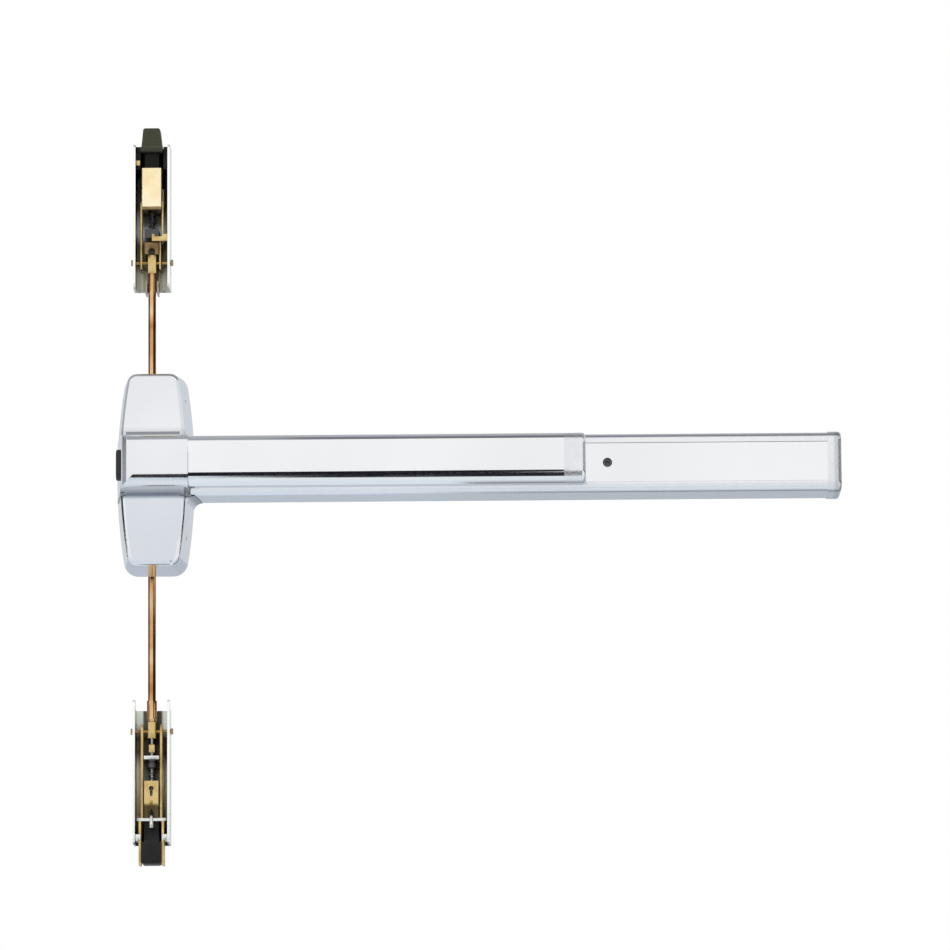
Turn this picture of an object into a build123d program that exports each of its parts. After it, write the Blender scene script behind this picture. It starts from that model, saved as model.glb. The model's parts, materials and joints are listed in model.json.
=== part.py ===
from build123d import *
import os
from math import cos, radians, sin, sqrt, tan

# Concealed vertical rod exit device, in millimetres.
# X runs along the push bar, the door face is the plane y = 0 with the device in front of it (-Y),
# Z is up, and the origin is on the rods' axis in plan, at the height of the push bar's centre line.

# Motion
pad_travel = 19.0
rod_travel = 17.0
crank_swing = 20.0
rocker_swing = 25.0

# Centre case
case_centre_x = 5.3
case_centre_z = -2.0
case_height = 201.0
case_half_width_mid = 38.6
case_half_width_end = 29.6
case_depth = 57.0
case_wall = 3.0
case_draft = 6.0
wing_slope = 5.0
case_corner_radius = 15.0
case_front_radius = 6.0
band_end_x = 41.6
band_flare = 5.0
band_root_radius = 8.0
band_root_margin = 12.0
gusset_radius = 9.0
chassis_thickness = 3.0
chassis_left_x = -19.0
chassis_right_x = 29.5
chassis_margin = 8.5
chassis_hole_radius = 2.75
chassis_hole_spacing_x = 28.0
chassis_hole_edge = 8.0
cover_screw_radius = 2.05
cover_screw_z = 68.0
cover_screw_y = -28.0
flank_screw_x = -24.0
flank_screw_y = -70.0
plug_y = -62.0
plug_height = 31.0
plug_width = 15.0
plug_stem_radius = 3.9
plug_proud = 3.0
plug_seat = 0.1

# Push bar
rail_seam = 0.6
rail_end_x = 669.8
rail_height = 58.0
rail_wall = 3.0
rail_corner_radius = 8.0
rail_mouth_height = 39.0
pad_projection = 97.0
pad_height = 50.0
pad_skirt = 20.5
pad_wall = 2.5
pad_corner_radius = 12.0
pad_leg_height = 35.0
pad_leg_back_y = -48.0
pad_end_x = 410.0
pad_cap_length = 21.0
pad_gap = 0.4
bracket_inset = 14.0
cover_thickness = 2.5
cover_recess = 1.2
cover_fit = 0.3
end_cap_length = 13.5
end_cap_proud = 1.0
bracket_hole_radius = 2.6
bracket_hole_spacing = 30.0
bracket_setback = 17.0
end_screw_y = -28.0
end_screw_radius = 2.1
end_screw_head_radius = 3.8

# Linkage
running_fit = 0.05
slot_fit = 0.2
crank_pin_radius = 3.0
crank_thickness = 4.0
crank_bottom_z = 3.5
crank_pivot_y = -32.5
drive_arm = 20.0
drive_pin_radius = 2.5
left_crank_x = 110.0
right_crank_x = 330.0
base_thickness = 1.5
base_start_x = 62.0
base_end_x = 490.0
link_bottom_z = 8.0
link_thickness = 2.5
link_front_y = -19.5
link_back_y = -7.0
link_end_x = 484.0
bracket_sheet = 2.0
tongue_gap = 4.7
dogging_x = 452.9
dogging_head_radius = 4.2
dogging_hole_radius = 4.6
dogging_shaft_radius = 4.0
hook_width = 8.8
hook_reach = 9.5

# Rocker and lifts
rocker_x = 3.0
rocker_thickness = 3.5
rocker_pin_radius = 3.0
rocker_back_y = -10.5
lift_thickness = 3.5
lift_gap = 0.5
lift_slot_width = 8.0
lift_inner_z = 26.0
lift_margin = 17.5
lift_half_width = 9.2
guide_post_z = (40.0, 55.0)
arm_half_width = 7.0
arm_thickness = 5.0

# Rods and latches
rod_y = 22.0
rod_radius = 3.95
latch_half_width = 18.4
latch_sheet = 2.4
latch_front_y = 6.0
latch_back_y = 38.0
flange_hole_y = 14.0
flange_hole_radius = 2.25
latch_corner_radius = 5.0
cross_pin_radius = 1.6
cross_pin_head_radius = 3.2
cross_pin_head = 2.4
stem_radius = 1.5
stem_hole_radius = 2.2
bolt_half_width = 10.2
bolt_front_y = 10.0
bolt_back_y = 34.0
bolt_lip = 1.0
adjuster_y = 12.6
adjuster_radius = 1.7
bolt_lip_height = 6.0
bolt_neck_half_width = 7.4
bolt_neck_front_y = 16.0
spring_radius = 3.3
spring_wire = 0.6
spring_turns = 8

# Top latch heights
top_bolt_tip_z = 353.0
top_case_z = 336.0
carriage_top_z = 312.2
carriage_bottom_z = 272.8
carriage_plate_z = 269.8
top_seat_z = 250.7
top_seat_drop = 9.0
stop_block_z = 237.7
bridge_top_z = 236.7
bridge_bottom_z = 224.7
clevis_top_z = 225.7
upper_pin_z = 217.6
upper_rod_end_z = 206.6
top_case_bottom_z = 190.0
top_hole_z = (321.0, 245.0)
joggle_rise = 6.0
joggle_clear = 0.3
joggle_step = 2.5
strap_inner_x = 9.9
strap_sheet = 1.6

# Bottom latch heights
bottom_ears_z = -223.9
bottom_web_z = -232.2
lower_rod_end_z = -245.2
lower_pin_z = -254.3
coupling_bottom_z = -261.3
nut_block_z = -267.8
seat_bar_z = -279.3
seat_bar_sheet = 3.5
cup_bottom_z = -290.4
slot_plate_top_z = -304.4
carriage_floor_z = -325.5
cross_bar_top_z = -341.0
cross_bar_thickness = 3.0
lug_z = -357.5
lug_height = 6.0
strap_outer_x = 12.6
bottom_case_z = -366.6
bottom_bolt_tip_z = -386.7
bottom_hole_z = (-270.5, -346.5)
strap_tip_z = -387.7

# Worked out from the sizes above
case_top = case_height / 2
chassis_height = case_height - 2 * chassis_margin
chassis_hole_spacing_z = chassis_height - 2 * chassis_hole_edge
lift_outer_z = case_top - lift_margin
band_side_lean = case_draft * pad_projection / case_depth
band_root_z = pad_height / 2 + band_flare
rail_top = rail_height / 2
rail_start_x = band_end_x + rail_seam
rail_opening = rail_top + 0.5
mouth_top = rail_mouth_height / 2
pad_arm = pad_travel / (2 * sin(radians(crank_swing)))
link_travel = 2 * drive_arm * sin(radians(crank_swing))
rocker_arm = rod_travel / (2 * sin(radians(rocker_swing)))
link_arm = link_travel / (2 * sin(radians(rocker_swing)))
drive_pin_y = crank_pivot_y + drive_arm * cos(radians(crank_swing))
rocker_front_y = rocker_back_y - rocker_thickness
lift_back_y = rocker_front_y - lift_gap
lift_front_y = lift_back_y - lift_thickness
latch_inner = latch_half_width - latch_sheet
latch_web_y = latch_back_y - latch_sheet
pad_front_y = -pad_projection
pad_back_y = pad_front_y + pad_skirt
cross_bar_bottom_z = cross_bar_top_z - cross_bar_thickness

parts = {}


def span(x0, x1, y0, y1, z0, z1):
    """A plain block between two corners."""
    centre = Pos((x0 + x1) / 2, (y0 + y1) / 2, (z0 + z1) / 2)
    return centre * Box(x1 - x0, y1 - y0, z1 - z0)


def round_x(x0, x1, y, z, radius):
    """A round bar along X."""
    return Pos((x0 + x1) / 2, y, z) * Rot(0, 90, 0) * Cylinder(radius, x1 - x0)


def round_y(x, y0, y1, z, radius):
    """A round bar along Y."""
    return Pos(x, (y0 + y1) / 2, z) * Rot(90, 0, 0) * Cylinder(radius, y1 - y0)


def round_z(x, y, z0, z1, radius):
    """A round bar along Z."""
    return Pos(x, y, (z0 + z1) / 2) * Cylinder(radius, z1 - z0)


def front_plate(sketch, y0, y1):
    """A sketch in X and Z given thickness from y0 back to y1."""
    return extrude(Plane.XZ.offset(-y1) * sketch, y1 - y0)


def side_plate(sketch, x0, x1):
    """A sketch in Y and Z given thickness from x0 to x1."""
    return extrude(Plane.YZ.offset(x0) * sketch, x1 - x0)


def slot_z(x, z0, z1, half_width, y0, y1):
    """A cutter for an upright slot with round ends, through in Y."""
    middle = Pos(x, (z0 + z1) / 2)
    shape = middle * Rot(0, 0, 90) * SlotOverall(z1 - z0 + 2 * half_width, 2 * half_width)
    return front_plate(shape, y0, y1)


def slot_x(x0, x1, z, half_width, y0, y1):
    """A cutter for a level slot with round ends, through in Y."""
    shape = Pos((x0 + x1) / 2, z) * SlotOverall(x1 - x0 + 2 * half_width, 2 * half_width)
    return front_plate(shape, y0, y1)


# Centre case

def case_outline(inset, top_inset):
    """The wings' outline: upright ends, and sides bowed out at the middle."""
    top = case_top - top_inset
    end = case_half_width_end - inset
    mid = case_half_width_mid - inset
    right = ThreePointArc((end, -top), (mid, 0), (end, top))
    left = ThreePointArc((-end, top), (-mid, 0), (-end, -top))
    ends = Line((end, top), (-end, top)) + Line((-end, -top), (end, -top))
    face = make_face(right + ends + left)
    radius = case_corner_radius - inset
    return Pos(case_centre_x, case_centre_z) * fillet(face.vertices(), radius)


def wing_depth(z):
    """How far the wings' front stands from the door: deepest at the band, less towards the ends."""
    return case_depth - (abs(z) - band_root_z) * tan(radians(wing_slope))


def wing(direction, inset):
    """One wing as a drafted block with a sloping front and rolled front edges."""
    crest = wing_depth(0) - inset
    end_z = direction * case_height
    taper = case_draft * crest / case_depth
    block = loft([
        Plane.XZ * case_outline(inset, inset),
        Plane.XZ.offset(crest) * case_outline(inset + taper, inset + taper),
    ])
    profile = make_face(Polyline((1, 0), (-crest, 0), (inset - wing_depth(end_z), end_z), (1, end_z), close=True))
    half = block & side_plate(profile, -case_height, case_height)
    front = half.faces().sort_by(Axis.Y)[0]
    rim = [edge for edge in front.edges() if abs(edge.center().Z) > 1]
    return fillet(rim, case_front_radius - inset)


def wings(inset):
    return wing(1, inset) + wing(-1, inset)


def band_profile(inset):
    """Section of the band across the wings: the pad's front, and sides that lean out to the root."""
    half = pad_height / 2 - inset
    front = pad_front_y + inset
    root_y = -case_depth + inset
    root = half + band_flare
    back = -2 * case_wall
    points = [(front, -half), (root_y, -root), (back, -root), (back, root), (root_y, root), (front, half)]
    face = make_face(Polyline(*points, close=True))
    front_corners = face.vertices().sort_by(Axis.X)[:2]
    return fillet(front_corners, pad_corner_radius - inset)


def band(inset):
    """The band, cut to the case's left side with a rolled corner."""
    bar = side_plate(band_profile(inset), case_centre_x - case_half_width_mid - 5, band_end_x)
    left = case_centre_x - case_half_width_mid + inset
    lean = band_side_lean
    plan = make_face(Polyline(
        (left + 0.2, -2), (left + lean, pad_front_y + inset), (band_end_x, pad_front_y + inset),
        (band_end_x, -2), close=True))
    corner = plan.vertices().sort_by(Axis.Y)[:2].sort_by(Axis.X)[0]
    plan = fillet(corner, pad_corner_radius - inset)
    return bar & extrude(plan, case_height / 2, both=True)


def band_root(direction):
    """Hollow fillet from the band's side down to a wing's front, as wide as the wing's flat."""
    reach = band_root_radius
    root_y = -case_depth
    face_y = -wing_depth(band_root_z + reach)
    side_y = root_y - reach
    side_z = band_root_z - band_flare * reach / (pad_projection - case_depth)
    inner_y = root_y + case_wall / 2
    middle = (root_y - 0.3 * reach, band_root_z + 0.2 * reach)
    arc = ThreePointArc((side_y, side_z), middle, (face_y, band_root_z + reach))
    sides = Polyline((face_y, band_root_z + reach), (inner_y, band_root_z + reach), (inner_y, side_z - 1),
                     (side_y, side_z - 1), (side_y, side_z))
    half_width = case_half_width_mid - band_root_margin
    bar = side_plate(make_face(arc + sides), case_centre_x - half_width, case_centre_x + half_width)
    return bar if direction > 0 else mirror(bar, Plane.XY)


def rail_gusset(direction):
    """Rounded root between the case's right side and the rail's edge, leaning with the side."""
    edge = direction * rail_opening
    low = direction * (rail_opening + gusset_radius)
    reach = gusset_radius * cos(radians(45))
    sections = []
    for depth in (0, case_depth - case_front_radius):
        wall = side_wall_x(1, low, -depth)
        inner = wall - case_wall / 2
        tip = wall + gusset_radius
        arc = ThreePointArc((tip, edge), (tip - reach, low - direction * reach), (wall, low))
        sides = Polyline((wall, low), (inner, low), (inner, edge), (tip, edge))
        sections.append(Plane.XZ.offset(depth) * make_face(arc + sides))
    return loft(sections)


def case_cover():
    shell = wings(0) + band(0)
    for direction in (1, -1):
        shell += band_root(direction) + rail_gusset(direction)
    shell = shell - wings(case_wall) - band(case_wall)
    side = band_end_x + case_half_width_mid
    shell -= span(band_end_x, side, -case_depth - 1, 1, -rail_opening, rail_opening)
    inside = case_centre_x + case_half_width_end
    shell -= span(inside, side, -case_depth + case_wall, 1, -rail_opening, rail_opening)
    hole = cover_screw_radius + running_fit
    for z in (cover_screw_z, -cover_screw_z):
        reach = case_half_width_mid + 5
        shell -= round_x(case_centre_x - reach, case_centre_x + reach, cover_screw_y, z, hole)
    shell -= round_z(flank_screw_x, flank_screw_y, -band_root_z - 1, -pad_height / 4, hole)
    plug_x = band_side_x(plug_y)
    return shell - round_x(plug_x - 5, plug_x + 8, plug_y, 0, plug_stem_radius + 2 * running_fit)


def band_side_x(y):
    """Where the outside of the band's left side lies at a depth."""
    return case_centre_x - case_half_width_mid - y * band_side_lean / pad_projection


def side_wall_x(direction, z, y):
    """Where the outside of a wing's side wall lies at a height and depth."""
    sag = (case_half_width_mid - case_half_width_end) * ((z - case_centre_z) / case_top) ** 2
    lean = case_draft * -y / case_depth
    return case_centre_x + direction * (case_half_width_mid - sag - lean)


def cover_screws():
    """Four from the sides and one up into the band's lower flank, each just below the skin."""
    screws = []
    sunk = 0.5
    for direction in (1, -1):
        for z in (cover_screw_z, -cover_screw_z):
            wall = side_wall_x(direction, z, cover_screw_y)
            outer = wall - direction * sunk
            inner = wall - direction * 3 * case_wall
            screws.append(round_x(*sorted((outer, inner)), cover_screw_y, z, cover_screw_radius))
    share = (flank_screw_y + pad_projection) / (pad_projection - case_depth)
    flank_z = -pad_height / 2 - band_flare * share
    screws.append(round_z(flank_screw_x, flank_screw_y, flank_z + sunk, flank_z + 2 * case_wall,
                          cover_screw_radius))
    return screws


def side_plug():
    """Oval plug on the band's left side, with its stem through the wall."""
    face = band_side_x(plug_y - plug_width / 2)
    outline = Pos(plug_y, 0) * SlotOverall(plug_height, plug_width, rotation=90)
    back_face = band_side_x(plug_y + plug_width / 2)
    head = extrude(Plane.YZ.offset(back_face - plug_proud) * outline, face - back_face + plug_proud)
    head = chamfer(head.faces().sort_by(Axis.X)[0].edges(), 1.0)
    seat = make_face(Polyline((face + 1, plug_y - plug_width), (band_side_x(plug_y - plug_width) - plug_seat,
                              plug_y - plug_width), (band_side_x(plug_y + plug_width) - plug_seat,
                              plug_y + plug_width), (face + 1, plug_y + plug_width), close=True))
    head -= extrude(seat, plug_height, both=True)
    return head + round_x(back_face - 1, face + 4, plug_y, 0, plug_stem_radius)


def case_chassis():
    z_top = chassis_height / 2
    width = chassis_right_x - chassis_left_x
    middle = (chassis_left_x + chassis_right_x) / 2
    sheet = Pos(middle, 0) * RectangleRounded(width, chassis_height, 6)
    plate = front_plate(sheet, -chassis_thickness, 0)
    for direction in (1, -1):
        low = lift_outer_z - rod_travel - arm_thickness - 1
        high = lift_outer_z + 1
        z0, z1 = sorted((direction * low, direction * high))
        plate -= span(-arm_half_width - 1, arm_half_width + 1, -5, 5, z0, z1)
        for x in (-chassis_hole_spacing_x / 2, chassis_hole_spacing_x / 2):
            plate -= round_y(x, -5, 5, direction * chassis_hole_spacing_z / 2, chassis_hole_radius)
    plate = plate + round_y(rocker_x, link_back_y + 0.5, -2, 0, 7.5)
    return plate - round_y(rocker_x, -9, 3, 0, 4 + running_fit)


def rocker_post():
    post = round_y(rocker_x, rocker_front_y - 3, 0, 0, 4)
    return post + round_y(rocker_x, rocker_front_y - 4.5, rocker_front_y - lift_gap, 0, 6.5)


def rocker_arm_end(length, angle, end_radius):
    """One arm of the rocker as a tapered web with a round end."""
    tip = Pos(length, 0) * Circle(end_radius)
    web = Pos(length / 2, 0) * Rectangle(length, 2 * end_radius)
    return Rot(0, 0, angle) * (tip + web)


def rocker():
    """Three arms on one hub: the top one is pushed, the side ones work the lifts."""
    rest = -rocker_swing
    flat = Circle(9) + rocker_arm_end(rocker_arm, rest, 5) + rocker_arm_end(rocker_arm, 180 + rest, 5)
    flat += rocker_arm_end(link_arm, 90 + rest, 4.5)
    body = front_plate(Pos(rocker_x, 0) * flat, rocker_front_y, rocker_back_y)
    body -= round_y(rocker_x, rocker_front_y - 1, rocker_back_y + 1, 0, 4 + running_fit)
    for angle in (rest, 180 + rest):
        x = rocker_x + rocker_arm * cos(radians(angle))
        z = rocker_arm * sin(radians(angle))
        body += round_y(x, lift_front_y - 1, rocker_back_y, z, rocker_pin_radius)
    x = rocker_x + link_arm * cos(radians(90 + rest))
    z = link_arm * sin(radians(90 + rest))
    return body + round_y(x, rocker_front_y, link_back_y + 1, z, rocker_pin_radius - 0.5)


def lift(direction):
    """A lift slide, with its slotted leg at the rocker and its arm back to the rod.

    direction is 1 for the upper lift, which the left arm works, and -1 for the lower one.
    """
    side = -direction
    near = rocker_x + side * rocker_arm * cos(radians(rocker_swing))
    far = rocker_x + side * rocker_arm
    x0, x1 = sorted((near, far))
    pin_z = direction * rocker_arm * sin(radians(rocker_swing))
    slot_half = rocker_pin_radius + slot_fit
    leg_x0 = x0 - slot_half - 2.3
    leg_x1 = x1 + slot_half + 2.3
    z0, z1 = sorted((pin_z - direction * 7, direction * (lift_inner_z + 8)))
    leg = span(leg_x0, leg_x1, lift_front_y, lift_back_y, z0, z1)
    foot_x0, foot_x1 = sorted((0, leg_x1 if side > 0 else leg_x0))
    z0, z1 = sorted((direction * lift_inner_z, direction * (lift_inner_z + 8)))
    leg += span(foot_x0, foot_x1, lift_front_y, lift_back_y, z0, z1)
    z0, z1 = sorted((direction * lift_inner_z, direction * lift_outer_z))
    plate = span(-lift_half_width, lift_half_width, lift_front_y, lift_back_y, z0, z1)
    body = plate + leg
    body -= slot_x(x0, x1, pin_z, slot_half, lift_front_y - 1, lift_back_y + 1)
    ends = sorted((direction * guide_post_z[0], direction * guide_post_z[1]))
    if direction > 0:
        slot_ends = (ends[0], ends[1] + rod_travel)
    else:
        slot_ends = (ends[0] - rod_travel, ends[1])
    half = lift_slot_width / 2
    body -= slot_z(0, *slot_ends, half, lift_front_y - 1, lift_back_y + 1)
    z0, z1 = sorted((direction * (lift_outer_z - arm_thickness), direction * lift_outer_z))
    arm = span(-arm_half_width, arm_half_width, lift_front_y, rod_y + 7, z0, z1)
    arm = arm - round_z(0, rod_y, z0 - 1, z1 + 1, rod_radius + running_fit)
    return body + arm


def lift_guide_posts():
    posts = []
    for direction in (1, -1):
        for z in guide_post_z:
            shank = round_y(0, lift_front_y - 0.4, -chassis_thickness, direction * z,
                            lift_slot_width / 2 - 0.15)
            head = round_y(0, lift_front_y - 2.6, lift_front_y - 0.4, direction * z, 6)
            posts.append(shank + head)
    return posts


# Push bar

def rail_section(depth, half, radius, inset):
    """Outline of the rail in Y and Z, with its two front corners rounded."""
    block = Pos(-depth / 2, 0) * Rectangle(depth - 2 * inset, 2 * (half - inset))
    return fillet(block.vertices().sort_by(Axis.X)[:2], radius - inset)


def rail():
    outer = rail_section(case_depth, rail_top, rail_corner_radius, 0)
    inner = rail_section(case_depth, rail_top, rail_corner_radius, rail_wall)
    mouth = Pos(-case_depth, 0) * Rectangle(4 * rail_wall, rail_mouth_height)
    body = side_plate(outer - inner - mouth, rail_start_x, rail_end_x)
    for direction in (1, -1):
        z = direction * bracket_hole_spacing / 2
        body -= round_y(bracket_x(), -5, 5, z, bracket_hole_radius)
    return body


def bracket_x():
    """Where the end bracket's screws lie along the rail."""
    return rail_end_x - bracket_inset


def rail_cover():
    start = pad_end_x + pad_cap_length + pad_gap
    half = mouth_top - cover_fit
    front = -case_depth + cover_recess
    plate = span(start, rail_end_x, front, front + cover_thickness, -half, half)
    for direction in (1, -1):
        z0, z1 = sorted((direction * half, direction * (half - 2)))
        plate += span(start, rail_end_x, front, front + 12, z0, z1)
    return plate - round_y(dogging_x, front - 1, front + 5, 0, dogging_hole_radius)


def end_cap():
    proud = end_cap_proud
    outline = rail_section(case_depth + proud, rail_top + proud, rail_corner_radius + 2, 0)
    body = side_plate(outline, rail_end_x, rail_end_x + end_cap_length)
    body = fillet(body.faces().sort_by(Axis.X)[-1].edges().filter_by_position(
        Axis.Y, -case_depth - 2, -1), 4.0)
    hollow = rail_section(case_depth, rail_top, rail_corner_radius, rail_wall)
    body -= side_plate(hollow, rail_end_x - 1, rail_end_x + end_cap_length - 4)
    outside = rail_end_x + end_cap_length
    for direction in (1, -1):
        z = direction * bracket_hole_spacing / 2
        body -= round_x(rail_end_x, outside + 1, end_screw_y, z, end_screw_radius + running_fit)
        body -= round_x(outside - 1.5, outside + 1, end_screw_y, z, end_screw_head_radius + slot_fit)
    return body


def end_cap_screws():
    screws = []
    outside = rail_end_x + end_cap_length
    for direction in (1, -1):
        z = direction * bracket_hole_spacing / 2
        head = round_x(outside - 1.5, outside + 0.6, end_screw_y, z, end_screw_head_radius)
        screws.append(head + round_x(bracket_x() + 6, outside - 1, end_screw_y, z, end_screw_radius))
    return screws


def end_cap_bracket():
    """Angle bracket: its foot takes the door screws, its upright takes the end cap's screws."""
    x0 = bracket_x() - 12
    x1 = rail_end_x - 1
    foot = span(x0, x1, -rail_wall - 3, -rail_wall, -24, 24)
    for direction in (1, -1):
        foot -= round_y(bracket_x(), -10, 0, direction * bracket_hole_spacing / 2, bracket_hole_radius)
    upright = span(x1 - 3, x1, -case_depth + bracket_setback, -rail_wall - 3, -21, 21)
    for direction in (1, -1):
        z = direction * bracket_hole_spacing / 2
        upright -= round_x(x1 - 4, x1 + 1, end_screw_y, z, end_screw_radius + running_fit)
    return foot + upright


def push_pad():
    half = pad_height / 2
    depth = pad_skirt
    outer = Pos(pad_back_y - depth / 2, 0) * Rectangle(depth, 2 * half)
    outer = fillet(outer.vertices().sort_by(Axis.X)[:2], pad_corner_radius)
    wall = pad_wall
    inner = Pos(pad_back_y - (depth - wall) / 2 + 0.5, 0) * Rectangle(depth - wall + 1, 2 * (half - wall))
    inner = fillet(inner.vertices().sort_by(Axis.X)[:2], pad_corner_radius - wall)
    section = outer - inner
    for direction in (1, -1):
        z = direction * (pad_leg_height / 2 - wall / 2)
        length = pad_leg_back_y - pad_front_y - wall + 0.5
        section += Pos(pad_leg_back_y - length / 2, z) * Rectangle(length, wall)
    return side_plate(section, band_end_x + pad_gap, pad_end_x)


def pad_end_cap():
    x0 = pad_end_x
    x1 = pad_end_x + pad_cap_length
    half = pad_height / 2
    outer = Pos(pad_back_y - pad_skirt / 2, 0) * Rectangle(pad_skirt, 2 * half)
    outer = fillet(outer.vertices().sort_by(Axis.X)[:2], pad_corner_radius)
    body = side_plate(outer, x0, x1)
    front = body.faces().sort_by(Axis.X)[-1].edges().filter_by_position(
        Axis.Y, pad_front_y - 1, pad_back_y - 1)
    body = fillet(front, 3.5)
    leg = pad_leg_height / 2 - pad_wall - 0.2
    body += span(x0 + 6, x1 - 4, pad_back_y - 1, pad_leg_back_y - 6, -leg, leg)
    body -= span(x0 + 9, x1 - 7, pad_back_y - 12, pad_leg_back_y + 1, -leg + 3, leg - 3)
    flat = half - pad_corner_radius - 0.1
    plug = span(x0 - 8, x0, pad_front_y + pad_wall + 0.3, pad_back_y - 1, -flat, flat)
    return body + plug - span(x0 - 9, x0 + 3, pad_front_y + 8, pad_back_y + 1, -flat + 3, flat - 3)


def pad_pin_place(pivot_x):
    """Rest place of a crank's pad pin in plan."""
    x = pivot_x + pad_arm * cos(radians(crank_swing))
    y = crank_pivot_y - pad_arm * sin(radians(crank_swing))
    return x, y


def pad_brackets():
    """A riveted plate behind the pad's face at each crank, with a slotted tongue to the crank."""
    brackets = []
    for pivot_x in (left_crank_x, right_crank_x):
        x, y = pad_pin_place(pivot_x)
        far = pivot_x + pad_arm
        face_y = pad_front_y + pad_wall
        flat = pad_height / 2 - pad_corner_radius - 0.1
        plate = span(x - 14, x + 14, face_y, face_y + 3, -flat, flat)
        tongue = span(x - 9, far + 9, face_y + 1, y + 6, 0, crank_bottom_z - 0.3)
        slot = Pos((x + far) / 2, y) * SlotOverall(far - x + 2 * drive_pin_radius + 2 * slot_fit + 0.6,
                                                  2 * (drive_pin_radius + 0.15))
        tongue -= extrude(Plane.XY.offset(-1) * slot, crank_bottom_z + 2)
        brackets.append(plate + tongue)
    return brackets


def crank(pivot_x):
    """A bell crank: the long arm is pushed by the pad, the short one pushes the link bar."""
    reach_x, reach_y = pad_pin_place(pivot_x)
    angle = -crank_swing
    long_arm = Rot(0, 0, angle) * (Pos(pad_arm / 2, 0) * Rectangle(pad_arm, 10) + Pos(pad_arm, 0) * Circle(5))
    short_arm = Rot(0, 0, 90 + angle) * (
        Pos(drive_arm / 2, 0) * Rectangle(drive_arm, 9) + Pos(drive_arm, 0) * Circle(4.5))
    flat = Circle(7) + long_arm + short_arm
    plate = extrude(Plane.XY.offset(crank_bottom_z) * (Pos(pivot_x, crank_pivot_y) * flat), crank_thickness)
    hub_top = crank_bottom_z + crank_thickness
    plate += round_z(pivot_x, crank_pivot_y, hub_top - 1, link_bottom_z + 4.5, 5)
    plate += round_z(reach_x, reach_y, -1.5, crank_bottom_z + 1, drive_pin_radius)
    drive_x = pivot_x + drive_arm * cos(radians(90 + angle))
    drive_y = crank_pivot_y + drive_arm * sin(radians(90 + angle))
    plate += round_z(drive_x, drive_y, hub_top - 1, link_bottom_z + link_thickness + 1.5, drive_pin_radius)
    bore = crank_pin_radius + running_fit
    return plate - round_z(pivot_x, crank_pivot_y, crank_bottom_z - 1, link_bottom_z + 6, bore)


def crank_brackets():
    """A folded bracket at each crank: a back sheet and two tongues that hold the pivot pin."""
    brackets = []
    back = -rail_wall - base_thickness
    top = link_bottom_z + tongue_gap
    for pivot_x in (left_crank_x, right_crank_x):
        body = span(pivot_x - 13, pivot_x + 13, back - bracket_sheet, back, -16, top + bracket_sheet)
        front = crank_pivot_y - 7
        body += span(pivot_x - 7, pivot_x + 7, front, back, top, top + bracket_sheet)
        body += span(pivot_x - 7, pivot_x + 7, front, back, crank_bottom_z - 3, crank_bottom_z - 0.4)
        bore = crank_pin_radius + running_fit
        brackets.append(body - round_z(pivot_x, crank_pivot_y, -10, top + 5, bore))
    return brackets


def crank_pins():
    pins = []
    top = link_bottom_z + tongue_gap + bracket_sheet
    low = crank_bottom_z - 3
    for pivot_x in (left_crank_x, right_crank_x):
        shank = round_z(pivot_x, crank_pivot_y, low, top, crank_pin_radius)
        pins.append(shank + round_z(pivot_x, crank_pivot_y, low - 1.6, low, crank_pin_radius + 1.8))
    return pins


def linkage_base():
    plate = span(base_start_x, base_end_x, -rail_wall - base_thickness, -rail_wall, -22, 22)
    for x in range(int(base_start_x) + 30, int(base_end_x) - 10, 60):
        plate -= slot_x(x - 10, x + 10, -16, 2.2, -10, 0)
    return plate


def link_bar():
    """Flat bar under both drive pins, with an upturned slotted tongue at the rocker."""
    top = link_bottom_z + link_thickness
    left = rocker_x - 3
    bar = span(left, link_end_x, link_front_y, link_back_y, link_bottom_z, top)
    bar -= span(left - 1, rail_start_x + 14, link_front_y - 1, link_back_y - 2.5, 0, 20)
    tongue_right = rocker_x + link_travel / 2 + 8
    tongue = span(tongue_right - 17, tongue_right, link_back_y - 2.5, link_back_y, link_bottom_z, 23)
    pin_x = rocker_x + link_arm * sin(radians(rocker_swing))
    low = link_arm * cos(radians(rocker_swing))
    bar += tongue
    bar -= slot_z(pin_x, low - 0.3, link_arm + 0.3, rocker_pin_radius - 0.5 + slot_fit,
                  link_back_y - 4, link_back_y + 1)
    for pivot_x in (left_crank_x, right_crank_x):
        x = pivot_x + drive_arm * sin(radians(crank_swing))
        low_y = drive_pin_y - slot_fit
        high_y = crank_pivot_y + drive_arm + slot_fit
        half = drive_pin_radius + 0.15
        shape = Pos(x, (low_y + high_y) / 2) * SlotOverall(high_y - low_y + 2 * half, 2 * half, rotation=90)
        bar -= extrude(Plane.XY.offset(0) * shape, 30)
    window = 2 * (sqrt(hook_reach ** 2 - link_bottom_z ** 2) + 0.3)
    for x in (dogging_x, dogging_x + link_travel):
        bar -= span(x - window / 2, x + window / 2, link_front_y - 1, link_back_y - 3, 0, 20)
    return bar


def dogging_screw():
    """Hex-socket screw behind the cover's hole, with the flat hook on its tail."""
    front = -case_depth + cover_recess + cover_thickness + 0.5
    body = round_y(dogging_x, front, front + 6, 0, dogging_head_radius)
    body += round_y(dogging_x, front + 5, link_front_y - 1.5, 0, dogging_shaft_radius)
    socket = Plane.XZ.offset(-front) * (Pos(dogging_x, 0) * RegularPolygon(2.3, 6))
    body -= extrude(socket, -4)
    hook_front = link_front_y - 1.5
    hook_back = link_back_y - 4.5
    hook = span(dogging_x, dogging_x + hook_reach + 1, hook_front, hook_back, -hook_width / 2, hook_width / 2)
    hook = hook & round_y(dogging_x, hook_front, hook_back, 0, hook_reach)
    hook += round_y(dogging_x, hook_front, hook_back, 0, hook_width / 2)
    return body + hook


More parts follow.
